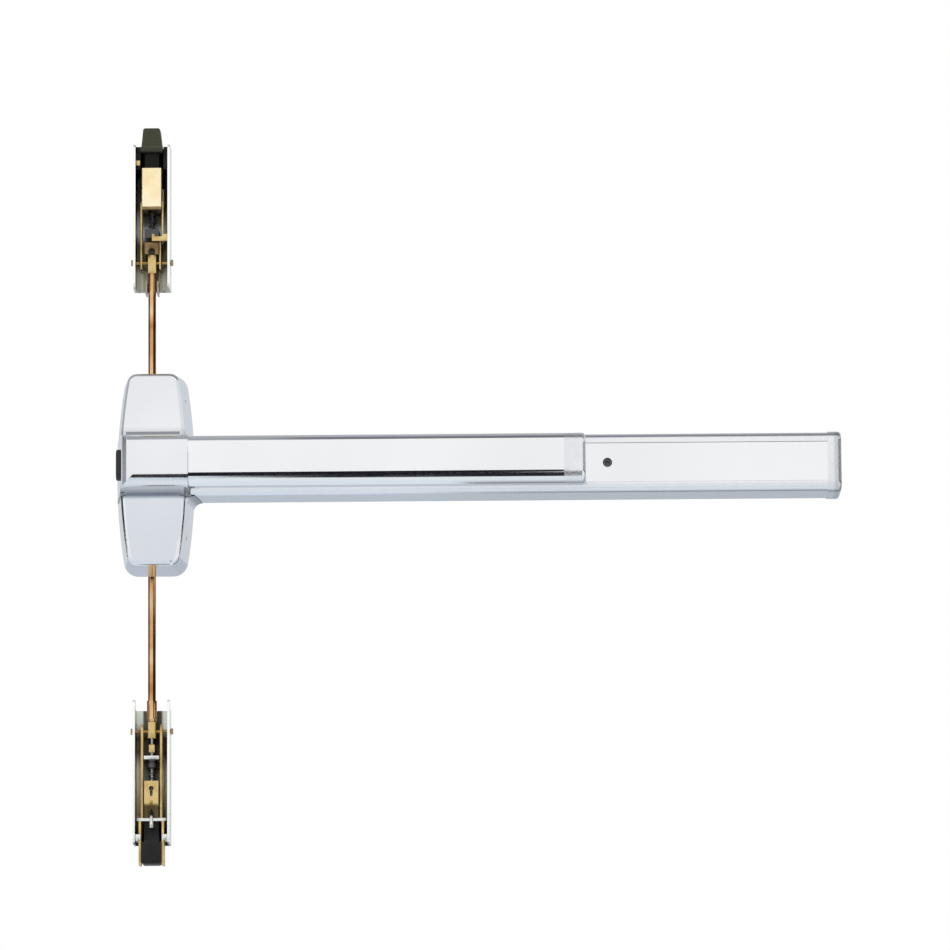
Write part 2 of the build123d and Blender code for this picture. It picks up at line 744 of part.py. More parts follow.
def dogging_bracket():
    """Bridge over the link bar that carries the dogging screw."""
    back = -rail_wall - base_thickness
    front = -case_depth + bracket_setback
    width = 14
    body = span(dogging_x - width, dogging_x + width, front, front + 3, -16, 16)
    for direction in (1, -1):
        z0, z1 = sorted((direction * 16, direction * 18.5))
        body += span(dogging_x - width, dogging_x + width, front, back, z0, z1)
    return body - round_y(dogging_x, front - 1, front + 4, 0, dogging_shaft_radius + running_fit)


def rail_joint_plate():
    """Strap inside that ties the rail's left end to the chassis."""
    left = 18.0
    step = rail_wall
    return span(left, base_start_x - 1, -step - 3, -step, -22, 22) - slot_x(
        rail_start_x + 6, rail_start_x + 14, -14, 2.2, -10, 0)


# Rods

def upper_rod():
    return round_z(0, rod_y, lift_outer_z - 8, upper_rod_end_z, rod_radius)


def lower_rod():
    """The rod swells to a sleeve above the coupling, then tapers into it."""
    sleeve_top = bottom_ears_z
    body = round_z(0, rod_y, sleeve_top, -lift_outer_z + 8, rod_radius)
    body += round_z(0, rod_y, lower_rod_end_z + 3, sleeve_top, rod_radius + 1.1)
    body += Pos(0, rod_y, lower_rod_end_z + 1.5) * Cone(rod_radius - 0.1, rod_radius + 1.1, 3)
    return body


def rod_nut(direction):
    z = direction * (lift_outer_z + 3)
    shape = extrude(Plane.XY.offset(z - 3) * (Pos(0, rod_y) * RegularPolygon(7.4, 6)), 6)
    return shape - round_z(0, rod_y, z - 4, z + 4, rod_radius + running_fit)


# Parts common to both latches

def latch_case(top_z, bottom_z, pin_z, direction):
    """Folded channel open to the front, with a slot for the cross pin in each flange."""
    half = latch_half_width
    body = span(-half, half, latch_front_y, latch_back_y, bottom_z, top_z)
    body -= span(-latch_inner, latch_inner, latch_front_y - 1, latch_web_y, bottom_z - 1, top_z + 1)
    ends = sorted((pin_z, pin_z - direction * rod_travel))
    shape = Pos(rod_y, (ends[0] + ends[1]) / 2) * SlotOverall(
        ends[1] - ends[0] + 2 * cross_pin_radius + 2 * slot_fit, 2 * (cross_pin_radius + slot_fit), rotation=90)
    return body - side_plate(shape, -half - 2, half + 2)


def flange_holes(heights):
    """Screw holes through both flanges of a latch case."""
    reach = latch_half_width + 1
    holes = round_x(-reach, reach, flange_hole_y, heights[0], flange_hole_radius)
    return holes + round_x(-reach, reach, flange_hole_y, heights[1], flange_hole_radius)


def cross_pin(z):
    """Headed pin through the flange slots."""
    inside = latch_half_width + 0.3
    pin = round_x(-inside - 1, inside + 1, rod_y, z, cross_pin_radius)
    for direction in (1, -1):
        x0, x1 = sorted((direction * inside, direction * (inside + cross_pin_head)))
        pin += round_x(x0, x1, rod_y, z, cross_pin_head_radius)
    return pin


def coil(low_z, high_z):
    """Compression spring on the rod axis, as one helix with a flat turn at each end left plain."""
    inner_low = low_z + spring_wire
    inner_high = high_z - spring_wire
    pitch = (inner_high - inner_low) / spring_turns
    path = Pos(0, rod_y, inner_low) * Helix(pitch, inner_high - inner_low, spring_radius)
    profile = Plane(origin=path @ 0, z_dir=path % 0) * RegularPolygon(spring_wire, 6)
    return sweep(profile, path=path, is_frenet=True)


# Top latch

def top_latch_case():
    body = latch_case(top_case_z, top_case_bottom_z, upper_pin_z, 1)
    body = fillet(body.edges().filter_by(Axis.X).filter_by_position(
        Axis.Y, latch_front_y - 0.1, latch_front_y + 0.1), latch_corner_radius)
    ear_top = upper_pin_z - rod_travel - cross_pin_radius - 0.5
    for direction in (1, -1):
        x0, x1 = sorted((direction * 4.9, direction * 6.6))
        body += span(x0, x1, 18, latch_web_y + 1, top_case_bottom_z - 4.5, ear_top)
    return body - flange_holes(top_hole_z)


def top_bolt():
    """Tip with a sloped back, a wider lip that stops it in the case, and a neck down to the carriage."""
    tip = bolt_half_width - 1.8
    lip_top = top_case_z - 2
    lip_bottom = lip_top - bolt_lip_height
    face = make_face(Polyline(
        (-bolt_half_width, lip_bottom), (bolt_half_width, lip_bottom), (bolt_half_width, top_case_z - 1),
        (tip, top_bolt_tip_z), (-tip, top_bolt_tip_z), (-bolt_half_width, top_case_z - 1), close=True))
    face = fillet(face.vertices().sort_by(Axis.Y)[-2:], 2.5)
    body = front_plate(face, bolt_front_y, bolt_back_y)
    slope = make_face(Polyline((bolt_back_y - 9, top_bolt_tip_z + 1), (bolt_back_y + 1, top_bolt_tip_z + 1),
                               (bolt_back_y + 1, top_case_z + 2), close=True))
    body -= side_plate(slope, -15, 15)
    lip = bolt_half_width + bolt_lip
    body += span(-lip, lip, bolt_front_y - bolt_lip, bolt_back_y, lip_bottom, lip_top)
    half = bolt_neck_half_width
    return body + span(-half, half, bolt_neck_front_y, bolt_back_y - 2, carriage_top_z, lip_bottom)


def top_bolt_guides():
    guides = []
    for direction in (1, -1):
        inner = bolt_half_width + bolt_lip + 0.3
        x0, x1 = sorted((direction * inner, direction * latch_inner))
        guides.append(span(x0, x1, bolt_neck_front_y, latch_web_y, carriage_top_z, top_case_z - 1))
    return guides


def top_carriage():
    """Block under the bolt, wider at the back, bored for the spring from below."""
    half = 9.6
    body = span(-half, half, 9, 30, carriage_bottom_z, carriage_top_z)
    body = fillet(body.edges().filter_by(Axis.Z).sort_by(Axis.Y)[:2], 1.0)
    body += span(-11.4, 11.4, 30, 33, carriage_bottom_z, carriage_bottom_z + 21.5)
    bore = spring_radius + spring_wire + 0.6
    return body - round_z(0, rod_y, carriage_bottom_z - 1, carriage_top_z - 5, bore)


def carriage_plate():
    bore = spring_radius + spring_wire + 0.6
    plate = span(-9.6, 9.6, 9, 33, carriage_plate_z, carriage_bottom_z)
    return plate - round_z(0, rod_y, carriage_plate_z - 1, carriage_bottom_z + 1, bore)


def top_stem():
    return round_z(0, rod_y, top_seat_z - 3, carriage_top_z - 5, stem_radius)


def top_spring_seat():
    """Bent clip off the web with a turned-down lip, holed for the stem."""
    half = 7.0
    body = span(-half, half, 13, latch_web_y, top_seat_z - 2, top_seat_z)
    body += span(-half, half, 13, 15, top_seat_z - top_seat_drop, top_seat_z)
    body += span(-half, half, latch_web_y - 2, latch_web_y, top_seat_z - top_seat_drop, top_seat_z)
    return body - round_z(0, rod_y, top_seat_z - 3, top_seat_z + 1, stem_hole_radius)


def top_stop_block():
    """Notched block off the right flange, and a small peg off the left one, higher up."""
    block = span(0.4, latch_inner, 8, 13, stop_block_z, stop_block_z + 7)
    block -= span(3, 10.6, 7, 14, stop_block_z + 4.5, stop_block_z + 8)
    peg = span(-latch_inner, -bolt_half_width - bolt_lip - 0.6, 11, 14, carriage_top_z + 3, carriage_top_z + 8)
    return [block, peg]


def top_bridge():
    """Strap across the stem's end, with an arch in its lower edge."""
    half = 7.0
    body = span(-half, half, 11, 13, bridge_bottom_z, bridge_top_z)
    for direction in (1, -1):
        x0, x1 = sorted((direction * (half - 1.5), direction * half))
        body += span(x0, x1, 11, latch_web_y, bridge_bottom_z, bridge_top_z)
    arch = round_y(0, 10, 14, bridge_bottom_z + 3, 3.2) + span(-3.2, 3.2, 10, 14, bridge_bottom_z - 1,
                                                              bridge_bottom_z + 3)
    return body - arch


def upper_clevis():
    body = span(-4.0, 4.0, 17, 27, upper_rod_end_z, clevis_top_z)
    body = chamfer(body.faces().sort_by(Axis.Z)[-1].edges(), 0.8)
    return body - round_x(-6, 6, rod_y, upper_pin_z, cross_pin_radius + running_fit)


def upper_link_left():
    inner = strap_inner_x
    body = span(-inner - strap_sheet, -inner, 16, 28, upper_pin_z - 7, carriage_bottom_z + 6)
    return body - round_x(-14, -8, rod_y, upper_pin_z, cross_pin_radius + running_fit)


def upper_link_right():
    """Joggled strap: it steps in below the stop block."""
    thick = strap_sheet
    high = strap_inner_x
    low = high - joggle_step
    top = carriage_bottom_z + 6
    bottom = upper_pin_z - 7
    bend_low = stop_block_z + joggle_clear
    bend_high = bend_low + joggle_rise
    shape = make_face(Polyline(
        (high, top), (high + thick, top), (high + thick, bend_high), (low + thick, bend_low),
        (low + thick, bottom), (low, bottom), (low, bend_low + 0.6), (high, bend_high + 0.6), close=True))
    body = front_plate(shape, 16, 28)
    return body - round_x(5, 14, rod_y, upper_pin_z, cross_pin_radius + running_fit)


# Bottom latch

def bottom_latch_case():
    body = latch_case(bottom_ears_z, bottom_case_z, lower_pin_z, -1)
    body -= span(-latch_half_width - 1, latch_half_width + 1, latch_front_y + 12, latch_back_y + 1,
                 bottom_web_z, bottom_ears_z + 1)
    body = fillet(body.edges().filter_by(Axis.X).filter_by_position(
        Axis.Y, latch_front_y - 0.1, latch_front_y + 0.1), latch_corner_radius)
    return body - flange_holes(bottom_hole_z)


def lower_coupling():
    body = span(-3.9, 3.9, 17, 27, coupling_bottom_z, lower_rod_end_z)
    body = chamfer(body.edges().filter_by(Axis.Z), 0.8)
    return body - round_x(-6, 6, rod_y, lower_pin_z, cross_pin_radius + running_fit)


def lower_links():
    """Two straight links with round ends, from the cross pin down to the cross bar."""
    links = []
    top = lower_pin_z + 7
    bottom = cross_bar_bottom_z
    shape = Pos(rod_y, (top + bottom) / 2) * Rectangle(14, top - bottom)
    shape = fillet(shape.vertices().sort_by(Axis.Y)[-2:], 6.5)
    for direction in (1, -1):
        x0, x1 = sorted((direction * 8.4, direction * 10.6))
        link = side_plate(shape, x0, x1)
        links.append(link - round_x(x0 - 1, x1 + 1, rod_y, lower_pin_z, cross_pin_radius + running_fit))
    return links


def bottom_stem():
    """Stem under the coupling."""
    return round_z(0, rod_y, carriage_floor_z - 6, coupling_bottom_z, stem_radius)


def bottom_stem_nut():
    """Square nut that sets the stem's length."""
    nut = span(-2.8, 2.8, 18, 26, nut_block_z - 7.5, nut_block_z)
    return nut - round_z(0, rod_y, nut_block_z - 8, nut_block_z + 1, stem_radius + running_fit)


def bottom_spring_seat():
    bar = span(-7.6, 7.6, 12, latch_web_y, seat_bar_z - seat_bar_sheet, seat_bar_z)
    return bar - round_z(0, rod_y, seat_bar_z - 5, seat_bar_z + 1, stem_hole_radius)


def bottom_spring_cup():
    """Turned spool under the seat bar: two flanges on a waist, bored from below for the spring."""
    low = cup_bottom_z
    bore = spring_radius + spring_wire + 0.3
    cup = round_z(0, rod_y, low, low + 4.0, bore + 1.2)
    cup += round_z(0, rod_y, low + 4.0, seat_bar_z - seat_bar_sheet, bore - 0.8)
    cup += round_z(0, rod_y, low + 5.8, seat_bar_z - seat_bar_sheet, bore + 0.8)
    cup -= round_z(0, rod_y, low - 1, low + 3, bore)
    return cup - round_z(0, rod_y, low - 1, seat_bar_z, stem_hole_radius)


def bottom_carriage():
    """Bolt carriage: a floor for the spring and a front plate with a keyhole slot."""
    half = 7.0
    front = 11.0
    block = span(-half, half, front + 2.5, 30, cross_bar_top_z, carriage_floor_z)
    block += span(-half, half, front, 30, carriage_floor_z - 1.5, carriage_floor_z)
    plate = span(-half, half, front, front + 2, carriage_floor_z - 1, slot_plate_top_z)
    plate -= slot_z(0, slot_plate_top_z - 14, slot_plate_top_z - 7, 1.3, front - 1, front + 3)
    plate -= round_y(0, front - 1, front + 3, slot_plate_top_z - 7.4, 2.4)
    point = Pos(0, 9.6, carriage_floor_z) * Rot(90, 0, 0) * Cone(2.2, 0.4, 3)
    body = block + plate + point
    pocket = adjuster_radius + 1.4
    body -= span(-pocket, pocket, 10, adjuster_y + adjuster_radius + 1, cross_bar_top_z - 1, carriage_floor_z - 2.5)
    return body - round_z(0, rod_y, carriage_floor_z - 7, carriage_floor_z + 1, stem_radius + running_fit)


def lower_cross_bar():
    half = 14.6
    body = span(-half, half, 14, 30, cross_bar_bottom_z, cross_bar_top_z)
    for direction in (1, -1):
        x0, x1 = sorted((direction * 8.1, direction * 10.9))
        body -= span(x0, x1, 14.7, 29.3, cross_bar_bottom_z - 1, cross_bar_top_z + 1)
    y = adjuster_y
    body += round_z(0, y, cross_bar_bottom_z - 1, cross_bar_top_z + 5, adjuster_radius)
    body += Pos(0, y, cross_bar_top_z + 7) * Cone(adjuster_radius, 0.5, 4)
    nut = RegularPolygon(2.6, 6)
    return body + extrude(Plane.XY.offset(cross_bar_bottom_z - 7) * (Pos(0, y) * nut), 7)


def bottom_bolt():
    """Head that shoots into the floor, with a narrower neck up to the cross bar."""
    head_top = bottom_case_z + 2
    shape = make_face(Polyline(
        (-bolt_half_width, head_top), (bolt_half_width, head_top),
        (bolt_half_width, bottom_bolt_tip_z), (-bolt_half_width, bottom_bolt_tip_z), close=True))
    shape = fillet(shape.vertices().sort_by(Axis.Y)[:2], 3.5)
    body = front_plate(shape, bolt_front_y, bolt_back_y)
    half = bolt_neck_half_width
    return body + span(-half, half, bolt_neck_front_y, bolt_back_y - 2, head_top, cross_bar_bottom_z)


def bolt_straps():
    straps = []
    for direction in (1, -1):
        x0, x1 = sorted((direction * bolt_half_width, direction * strap_outer_x))
        strap = span(x0, x1, 12, 32, strap_tip_z, cross_bar_bottom_z)
        straps.append(fillet(strap.edges().filter_by(Axis.X).sort_by(Axis.Z)[:2], 4))
    return straps


def bottom_bolt_lugs():
    lugs = []
    for direction in (1, -1):
        x0, x1 = sorted((direction * (strap_outer_x + 0.3), direction * latch_inner))
        lug = span(x0, x1, 9, latch_web_y, lug_z - lug_height, lug_z)
        x0, x1 = sorted((direction * (bolt_half_width + 0.5), direction * latch_inner))
        nose = span(x0, x1, 9, 11.5, lug_z - lug_height, lug_z)
        tips = nose.edges().filter_by(Axis.Y).sort_by(Axis.X)
        nose = fillet(tips[:2] if direction > 0 else tips[-2:], 1.8)
        lugs.append(lug + nose)
    return lugs


def build():
    parts["case_cover"] = case_cover()
    parts["case_chassis"] = case_chassis()
    parts["rocker_post"] = rocker_post()
    parts["lift_guide_posts"] = lift_guide_posts()
    parts["cover_screws"] = cover_screws()
    parts["side_plug"] = side_plug()
    parts["rail"] = rail()
    parts["rail_cover"] = rail_cover()
    parts["end_cap"] = end_cap()
    parts["end_cap_bracket"] = end_cap_bracket()
    parts["end_cap_screws"] = end_cap_screws()
    parts["rail_joint_plate"] = rail_joint_plate()
    parts["linkage_base"] = linkage_base()
    parts["crank_brackets"] = crank_brackets()
    parts["crank_pins"] = crank_pins()
    parts["dogging_bracket"] = dogging_bracket()
    parts["dogging_screw"] = dogging_screw()
    parts["push_pad"] = push_pad()
    parts["pad_end_cap"] = pad_end_cap()
    parts["pad_brackets"] = pad_brackets()
    parts["crank_left"] = crank(left_crank_x)
    parts["crank_right"] = crank(right_crank_x)
    parts["link_bar"] = link_bar()
    parts["rocker"] = rocker()
    parts["upper_lift"] = lift(1)
    parts["lower_lift"] = lift(-1)
    parts["upper_rod_nut"] = rod_nut(1)
    parts["lower_rod_nut"] = rod_nut(-1)
    parts["upper_rod"] = upper_rod()
    parts["lower_rod"] = lower_rod()
    parts["top_latch_case"] = top_latch_case()
    parts["top_bolt"] = top_bolt()
    parts["top_bolt_guides"] = top_bolt_guides()
    parts["top_carriage"] = top_carriage()
    parts["top_carriage_plate"] = carriage_plate()
    parts["top_stem"] = top_stem()
    parts["top_latch_spring"] = coil(top_seat_z, carriage_top_z - 5)
    parts["top_spring_seat"] = top_spring_seat()
    parts["top_stop_block"] = top_stop_block()
    parts["top_bridge"] = top_bridge()
    parts["upper_clevis"] = upper_clevis()
    parts["upper_cross_pin"] = cross_pin(upper_pin_z)
    parts["upper_link_left"] = upper_link_left()
    parts["upper_link_right"] = upper_link_right()
    parts["bottom_latch_case"] = bottom_latch_case()
    parts["lower_coupling"] = lower_coupling()
    parts["lower_cross_pin"] = cross_pin(lower_pin_z)
    parts["lower_links"] = lower_links()
    parts["bottom_stem"] = bottom_stem()
    parts["bottom_stem_nut"] = bottom_stem_nut()
    parts["bottom_spring_seat"] = bottom_spring_seat()
    parts["bottom_spring_cup"] = bottom_spring_cup()
    parts["bottom_latch_spring"] = coil(carriage_floor_z, cup_bottom_z + 3)
    parts["bottom_carriage"] = bottom_carriage()
    parts["lower_cross_bar"] = lower_cross_bar()
    parts["bottom_bolt"] = bottom_bolt()
    parts["bolt_straps"] = bolt_straps()
    parts["bottom_bolt_lugs"] = bottom_bolt_lugs()


def write():
    os.makedirs("parts", exist_ok=True)
    for name, shape in parts.items():
        if isinstance(shape, list):
            solids = [solid for piece in shape for solid in piece.solids()]
        else:
            solids = list(shape.solids())
        whole = solids[0] if len(solids) == 1 else Compound(solids)
        export_step(whole, f"parts/{name}.step")


build()
write()
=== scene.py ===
import bpy
import bmesh
import json
from math import cos, radians, sin
from mathutils import Matrix, Vector


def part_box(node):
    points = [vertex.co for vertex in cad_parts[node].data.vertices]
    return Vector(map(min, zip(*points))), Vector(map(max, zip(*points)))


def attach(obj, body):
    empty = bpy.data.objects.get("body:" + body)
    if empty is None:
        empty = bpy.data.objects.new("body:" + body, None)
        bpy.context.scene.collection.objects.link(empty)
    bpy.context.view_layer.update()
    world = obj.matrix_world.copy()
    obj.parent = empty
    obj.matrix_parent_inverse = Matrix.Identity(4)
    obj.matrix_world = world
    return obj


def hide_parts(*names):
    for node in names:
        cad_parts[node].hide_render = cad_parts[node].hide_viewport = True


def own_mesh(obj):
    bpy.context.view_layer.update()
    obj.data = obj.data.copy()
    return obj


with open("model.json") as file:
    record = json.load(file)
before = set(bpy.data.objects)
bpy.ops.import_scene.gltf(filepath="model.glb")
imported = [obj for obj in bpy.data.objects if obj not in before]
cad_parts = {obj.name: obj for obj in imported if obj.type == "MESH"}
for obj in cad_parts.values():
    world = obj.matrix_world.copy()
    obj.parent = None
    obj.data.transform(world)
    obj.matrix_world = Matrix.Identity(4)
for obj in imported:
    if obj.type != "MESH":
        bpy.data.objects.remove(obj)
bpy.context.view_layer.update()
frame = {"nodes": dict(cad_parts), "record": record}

# Centre case. One hollow die casting, polished and satin chrome plated, that covers the rocker and the lifts.
# Its wings slope to their ends, a raised band carries the bar's line across it, and screws in its flanks hold
# it to its chassis.

millimetre = 0.001
nodes = frame["nodes"]
body_of = {name: body for body, names in frame["record"]["behaviour"]["bodies"].items() for name in names}


def blank_finish(name):
    """A new material with its shader and the piece's own coordinates."""
    material = bpy.data.materials.new(name)
    material.use_nodes = True
    tree = material.node_tree
    place = tree.nodes.new("ShaderNodeTexCoord").outputs["Object"]
    return material, tree, tree.nodes["Principled BSDF"], place


def grain(tree, place, scale, stretch=(1, 1, 1), detail=3.0):
    """Noise with so many spots a metre, drawn out along an axis where brushing or drawing does it."""
    mapping = tree.nodes.new("ShaderNodeMapping")
    mapping.inputs["Scale"].default_value = stretch
    noise = tree.nodes.new("ShaderNodeTexNoise")
    noise.inputs["Scale"].default_value = scale
    noise.inputs["Detail"].default_value = detail
    tree.links.new(place, mapping.inputs["Vector"])
    tree.links.new(mapping.outputs["Vector"], noise.inputs["Vector"])
    return noise.outputs["Fac"]


def ranged(tree, value, start, end, low=0.0, high=1.0):
    """A value's way from start to end, laid out from low to high and held there."""
    scale = tree.nodes.new("ShaderNodeMapRange")
    for socket, number in (("From Min", start), ("From Max", end), ("To Min", low), ("To Max", high)):
        scale.inputs[socket].default_value = number
    tree.links.new(value, scale.inputs["Value"])
    return scale.outputs["Result"]


def worked(tree, operation, *values):
    """One step of arithmetic on values, each a number or the output of a node."""
    step = tree.nodes.new("ShaderNodeMath")
    step.operation = operation
    for socket, value in zip(step.inputs, values):
        if isinstance(value, float):
            socket.default_value = value
        else:
            tree.links.new(value, socket)
    return step.outputs[0]


def spread(tree, factor, low, high):
    """The middle of a noise's range, opened out to run from low to high."""
    noise_low, noise_high = 0.3, 0.7
    return ranged(tree, factor, noise_low, noise_high, low, high)


def ramp_of(tree, factor, stops):
    """Colours at their places along a factor."""
    ramp = tree.nodes.new("ShaderNodeValToRGB")
    elements = ramp.color_ramp.elements
    while len(elements) < len(stops):
        elements.new(0.5)
    for i, (position, tone) in enumerate(stops):
        elements[i].position = position
        elements[i].color = (*tone, 1)
    tree.links.new(factor, ramp.inputs["Fac"])
    return ramp.outputs["Color"]


def tones_of(tree, factor, tones):
    """Colours laid evenly over the middle of a noise's range."""
    first, width = 0.32, 0.36
    places = [first + width * i / (len(tones) - 1) for i in range(len(tones))]
    return ramp_of(tree, factor, list(zip(places, tones)))


def relief(tree, shader, factor, depth):
    """Bump of a real depth in metres."""
    bump = tree.nodes.new("ShaderNodeBump")
    bump.inputs["Strength"].default_value = 1.0
    bump.inputs["Distance"].default_value = depth
    tree.links.new(factor, bump.inputs["Height"])
    tree.links.new(bump.outputs["Normal"], shader.inputs["Normal"])


def metal(name, tones, rough, fine, stretch=(1, 1, 1), depth=2e-6, cloud=18.0):
    """A plated metal, clouded in colour, with a fine grain in its gloss and its surface.

    Cloud and fine are spots a metre, rough is the range of the gloss, and depth is the grain's own in metres.
    """
    material, tree, shader, place = blank_finish(name)
    shader.inputs["Metallic"].default_value = 1.0
    clouds = grain(tree, place, cloud)
    scratches = grain(tree, place, fine, stretch)
    tree.links.new(tones_of(tree, clouds, tones), shader.inputs["Base Color"])
    tree.links.new(spread(tree, scratches, *rough), shader.inputs["Roughness"])
    relief(tree, shader, scratches, depth)
    return material


def shader_of(material):
    """The shader of a finished material."""
    return material.node_tree.nodes["Principled BSDF"]


def dress(node, material):
    """Gives a CAD node that keeps its own mesh a better finish."""
    mesh = nodes[node].data
    mesh.materials.clear()
    mesh.materials.append(material)


def along(tree, place, axis, low, high, peak=1.0):
    """How far along an axis the surface lies, from 0 at one place in metres to a peak at the other."""
    apart = tree.nodes.new("ShaderNodeSeparateXYZ")
    tree.links.new(place, apart.inputs["Vector"])
    return ranged(tree, apart.outputs[axis], low, high, 0.0, peak)


def flat_tone(tree, tone):
    """One plain colour."""
    plain = tree.nodes.new("ShaderNodeRGB")
    plain.outputs[0].default_value = (*tone, 1)
    return plain.outputs[0]


def blend_of(tree, factor, under, over):
    """One colour laid over another by a factor."""
    mix = tree.nodes.new("ShaderNodeMix")
    mix.data_type = "RGBA"
    tree.links.new(factor, mix.inputs["Factor"])
    tree.links.new(under, mix.inputs["A"])
    tree.links.new(over, mix.inputs["B"])
    return mix.outputs["Result"]


def soft_rise(material, axis, low, high, peak=1.0):
    """A factor that rises softly along an axis, from 0 at one place in metres to a peak at the other."""
    tree = material.node_tree
    rise = along(tree, tree.nodes["Texture Coordinate"].outputs["Object"], axis, low, high, peak)
    rise.node.interpolation_type = "SMOOTHSTEP"
    return rise


def covered(material, factor, tone):
    """Another colour over a finish, as far as a factor says."""
    tree = material.node_tree
    finish = shader_of(material).inputs["Base Color"]
    under = finish.links[0].from_socket
    tree.links.new(blend_of(tree, factor, under, flat_tone(tree, tone)), finish)


def shade_over(material, low, high, tone, peak=1.0, axis="Z"):
    """Painted shade over a finish, from none at one place on an axis in metres to its peak at the other."""
    covered(material, soft_rise(material, axis, low, high, peak), tone)


def crease_shade(material, middle, half_width, tone):
    """Painted shade along a crease across the wings, strongest at its middle height."""
    below = soft_rise(material, "Z", middle - half_width, middle)
    above = soft_rise(material, "Z", middle + half_width, middle)
    covered(material, worked(material.node_tree, "MULTIPLY", below, above), tone)


cast_chrome = metal("cast satin chrome", [(0.79, 0.80, 0.83), (0.85, 0.86, 0.89)], rough=(0.09, 0.17),
                    fine=900.0, depth=3e-6, cloud=9.0)
band_low, band_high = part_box("push_pad")
upper_crease_z = band_high.z + 8.0 * millimetre
lower_crease_z = band_low.z - 4.0 * millimetre
# Painted shade in the creases where the band meets the wings, the lower one darker.
crease_shade(cast_chrome, upper_crease_z, 7.0 * millimetre, (0.68, 0.69, 0.72))
crease_shade(cast_chrome, lower_crease_z, 5.0 * millimetre, (0.20, 0.22, 0.25))
dress("case_cover", cast_chrome)

# Edges of the small machined and folded pieces. Each is tumbled or coined before plating, so its edges are
# eased by a fraction of a millimetre, and that is where such a piece catches the light.

same_place = 2e-6
same_plane = radians(0.5)


def eased(node, material, radius, sides=2, sharp=32.0):
    """A copy of a CAD node whose sharp edges are rounded; it stands for the node."""
    mesh = nodes[node].data.copy()
    mesh.name = node + "_eased"
    work = bmesh.new()
    work.from_mesh(mesh)
    bmesh.ops.remove_doubles(work, verts=work.verts, dist=same_place)
    bmesh.ops.dissolve_limit(work, angle_limit=same_plane, verts=work.verts, edges=work.edges)
    edges = [e for e in work.edges if len(e.link_faces) == 2 and e.calc_face_angle(0) > radians(sharp)]
    bmesh.ops.bevel(work, geom=edges, offset=radius, segments=sides, profile=0.5, affect="EDGES",
                    clamp_overlap=True)
    bmesh.ops.triangulate(work, faces=work.faces)
    work.to_mesh(mesh)
    work.free()
    for face in mesh.polygons:
        face.use_smooth = True
    mesh.set_sharp_from_angle(angle=radians(sharp))
    mesh.materials.clear()
    mesh.materials.append(material)
    piece = bpy.data.objects.new(node + "_eased", mesh)
    bpy.context.scene.collection.objects.link(piece)
    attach(piece, body_of[node])
    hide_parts(node)
    return piece


# Push bar. The rail is an aluminium channel, the pad and the flat cover are rolled stainless strip, all
# bright with a faint lengthwise grain. The pad slides into the rail and the cover snaps between its lips.

lengthwise = (0.02, 1, 1)
bright_bar = metal("bright drawn chrome", [(0.83, 0.84, 0.86), (0.88, 0.89, 0.91)], rough=(0.06, 0.12),
                   fine=420.0, stretch=lengthwise, depth=1e-6, cloud=5.0)
rail_chrome = metal("satin drawn rail", [(0.78, 0.80, 0.83), (0.84, 0.85, 0.88)], rough=(0.20, 0.30),
                    fine=500.0, stretch=lengthwise, depth=1.5e-6, cloud=6.0)
dress("push_pad", bright_bar)
dress("rail_cover", bright_bar)
dress("rail", rail_chrome)

# End caps. The small one closes the pad and moves with it, the large one closes the rail. Both are castings
# with a duller satin plate than the bar and rounded outer corners, and the large one's curved rim carries
# painted shade.

cap_chrome = metal("dull cast chrome", [(0.76, 0.78, 0.80), (0.82, 0.84, 0.86)], rough=(0.20, 0.32),
                   fine=1400.0, depth=3e-6, cloud=25.0)
dress("pad_end_cap", cap_chrome)
end_chrome = cap_chrome.copy()
cap_end_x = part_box("end_cap")[1].x
rim_start_x = cap_end_x - 9.0 * millimetre
rim_full_x = cap_end_x - 5.0 * millimetre
# Painted shade on the curved end of the large cap, where it turns away.
shade_over(end_chrome, rim_start_x, rim_full_x, (0.56, 0.57, 0.59), peak=0.9, axis="X")
dress("end_cap", end_chrome)

# Screws. Plated steel with a cross recess, pressed cold from wire. Two hold the end cap to the bracket in the
# rail's end, one above and one below the middle.


def new_tree(name, inputs):
    """A geometry tree with named inputs, and its two end nodes."""
    tree = bpy.data.node_groups.new(name, "GeometryNodeTree")
    tree.interface.new_socket("Geometry", in_out="INPUT", socket_type="NodeSocketGeometry")
    for label, kind in inputs:
        tree.interface.new_socket(label, in_out="INPUT", socket_type=kind)
    tree.interface.new_socket("Geometry", in_out="OUTPUT", socket_type="NodeSocketGeometry")
    return tree, tree.nodes.new("NodeGroupInput"), tree.nodes.new("NodeGroupOutput")


def close_tree(tree, entry, leave, geometry):
    """Ends a tree: instances become real and the material is set."""
    real = tree.nodes.new("GeometryNodeRealizeInstances")
    finish = tree.nodes.new("GeometryNodeSetMaterial")
    tree.links.new(geometry, real.inputs["Geometry"])
    tree.links.new(real.outputs["Geometry"], finish.inputs["Geometry"])
    tree.links.new(entry.outputs["Finish"], finish.inputs["Material"])
    tree.links.new(finish.outputs["Geometry"], leave.inputs["Geometry"])


def grow(name, tree, base, settings, body, replaced=()):
    """Runs a tree on a base mesh and keeps the result as a plain mesh that rides on a body."""
    piece = bpy.data.objects.new(name, base)
    bpy.context.scene.collection.objects.link(piece)
    modifier = piece.modifiers.new("Geometry", "NODES")
    modifier.node_group = tree
    named = {item.name: item.identifier for item in tree.interface.items_tree if item.in_out == "INPUT"}
    for label, value in settings.items():
        modifier[named[label]] = value
    evaluated = piece.evaluated_get(bpy.context.evaluated_depsgraph_get())
    made = bpy.data.meshes.new_from_object(evaluated)
    piece.modifiers.remove(modifier)
    piece.data = made
    made.set_sharp_from_angle(angle=radians(35))
    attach(piece, body)
    if replaced:
        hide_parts(*replaced)
    return piece


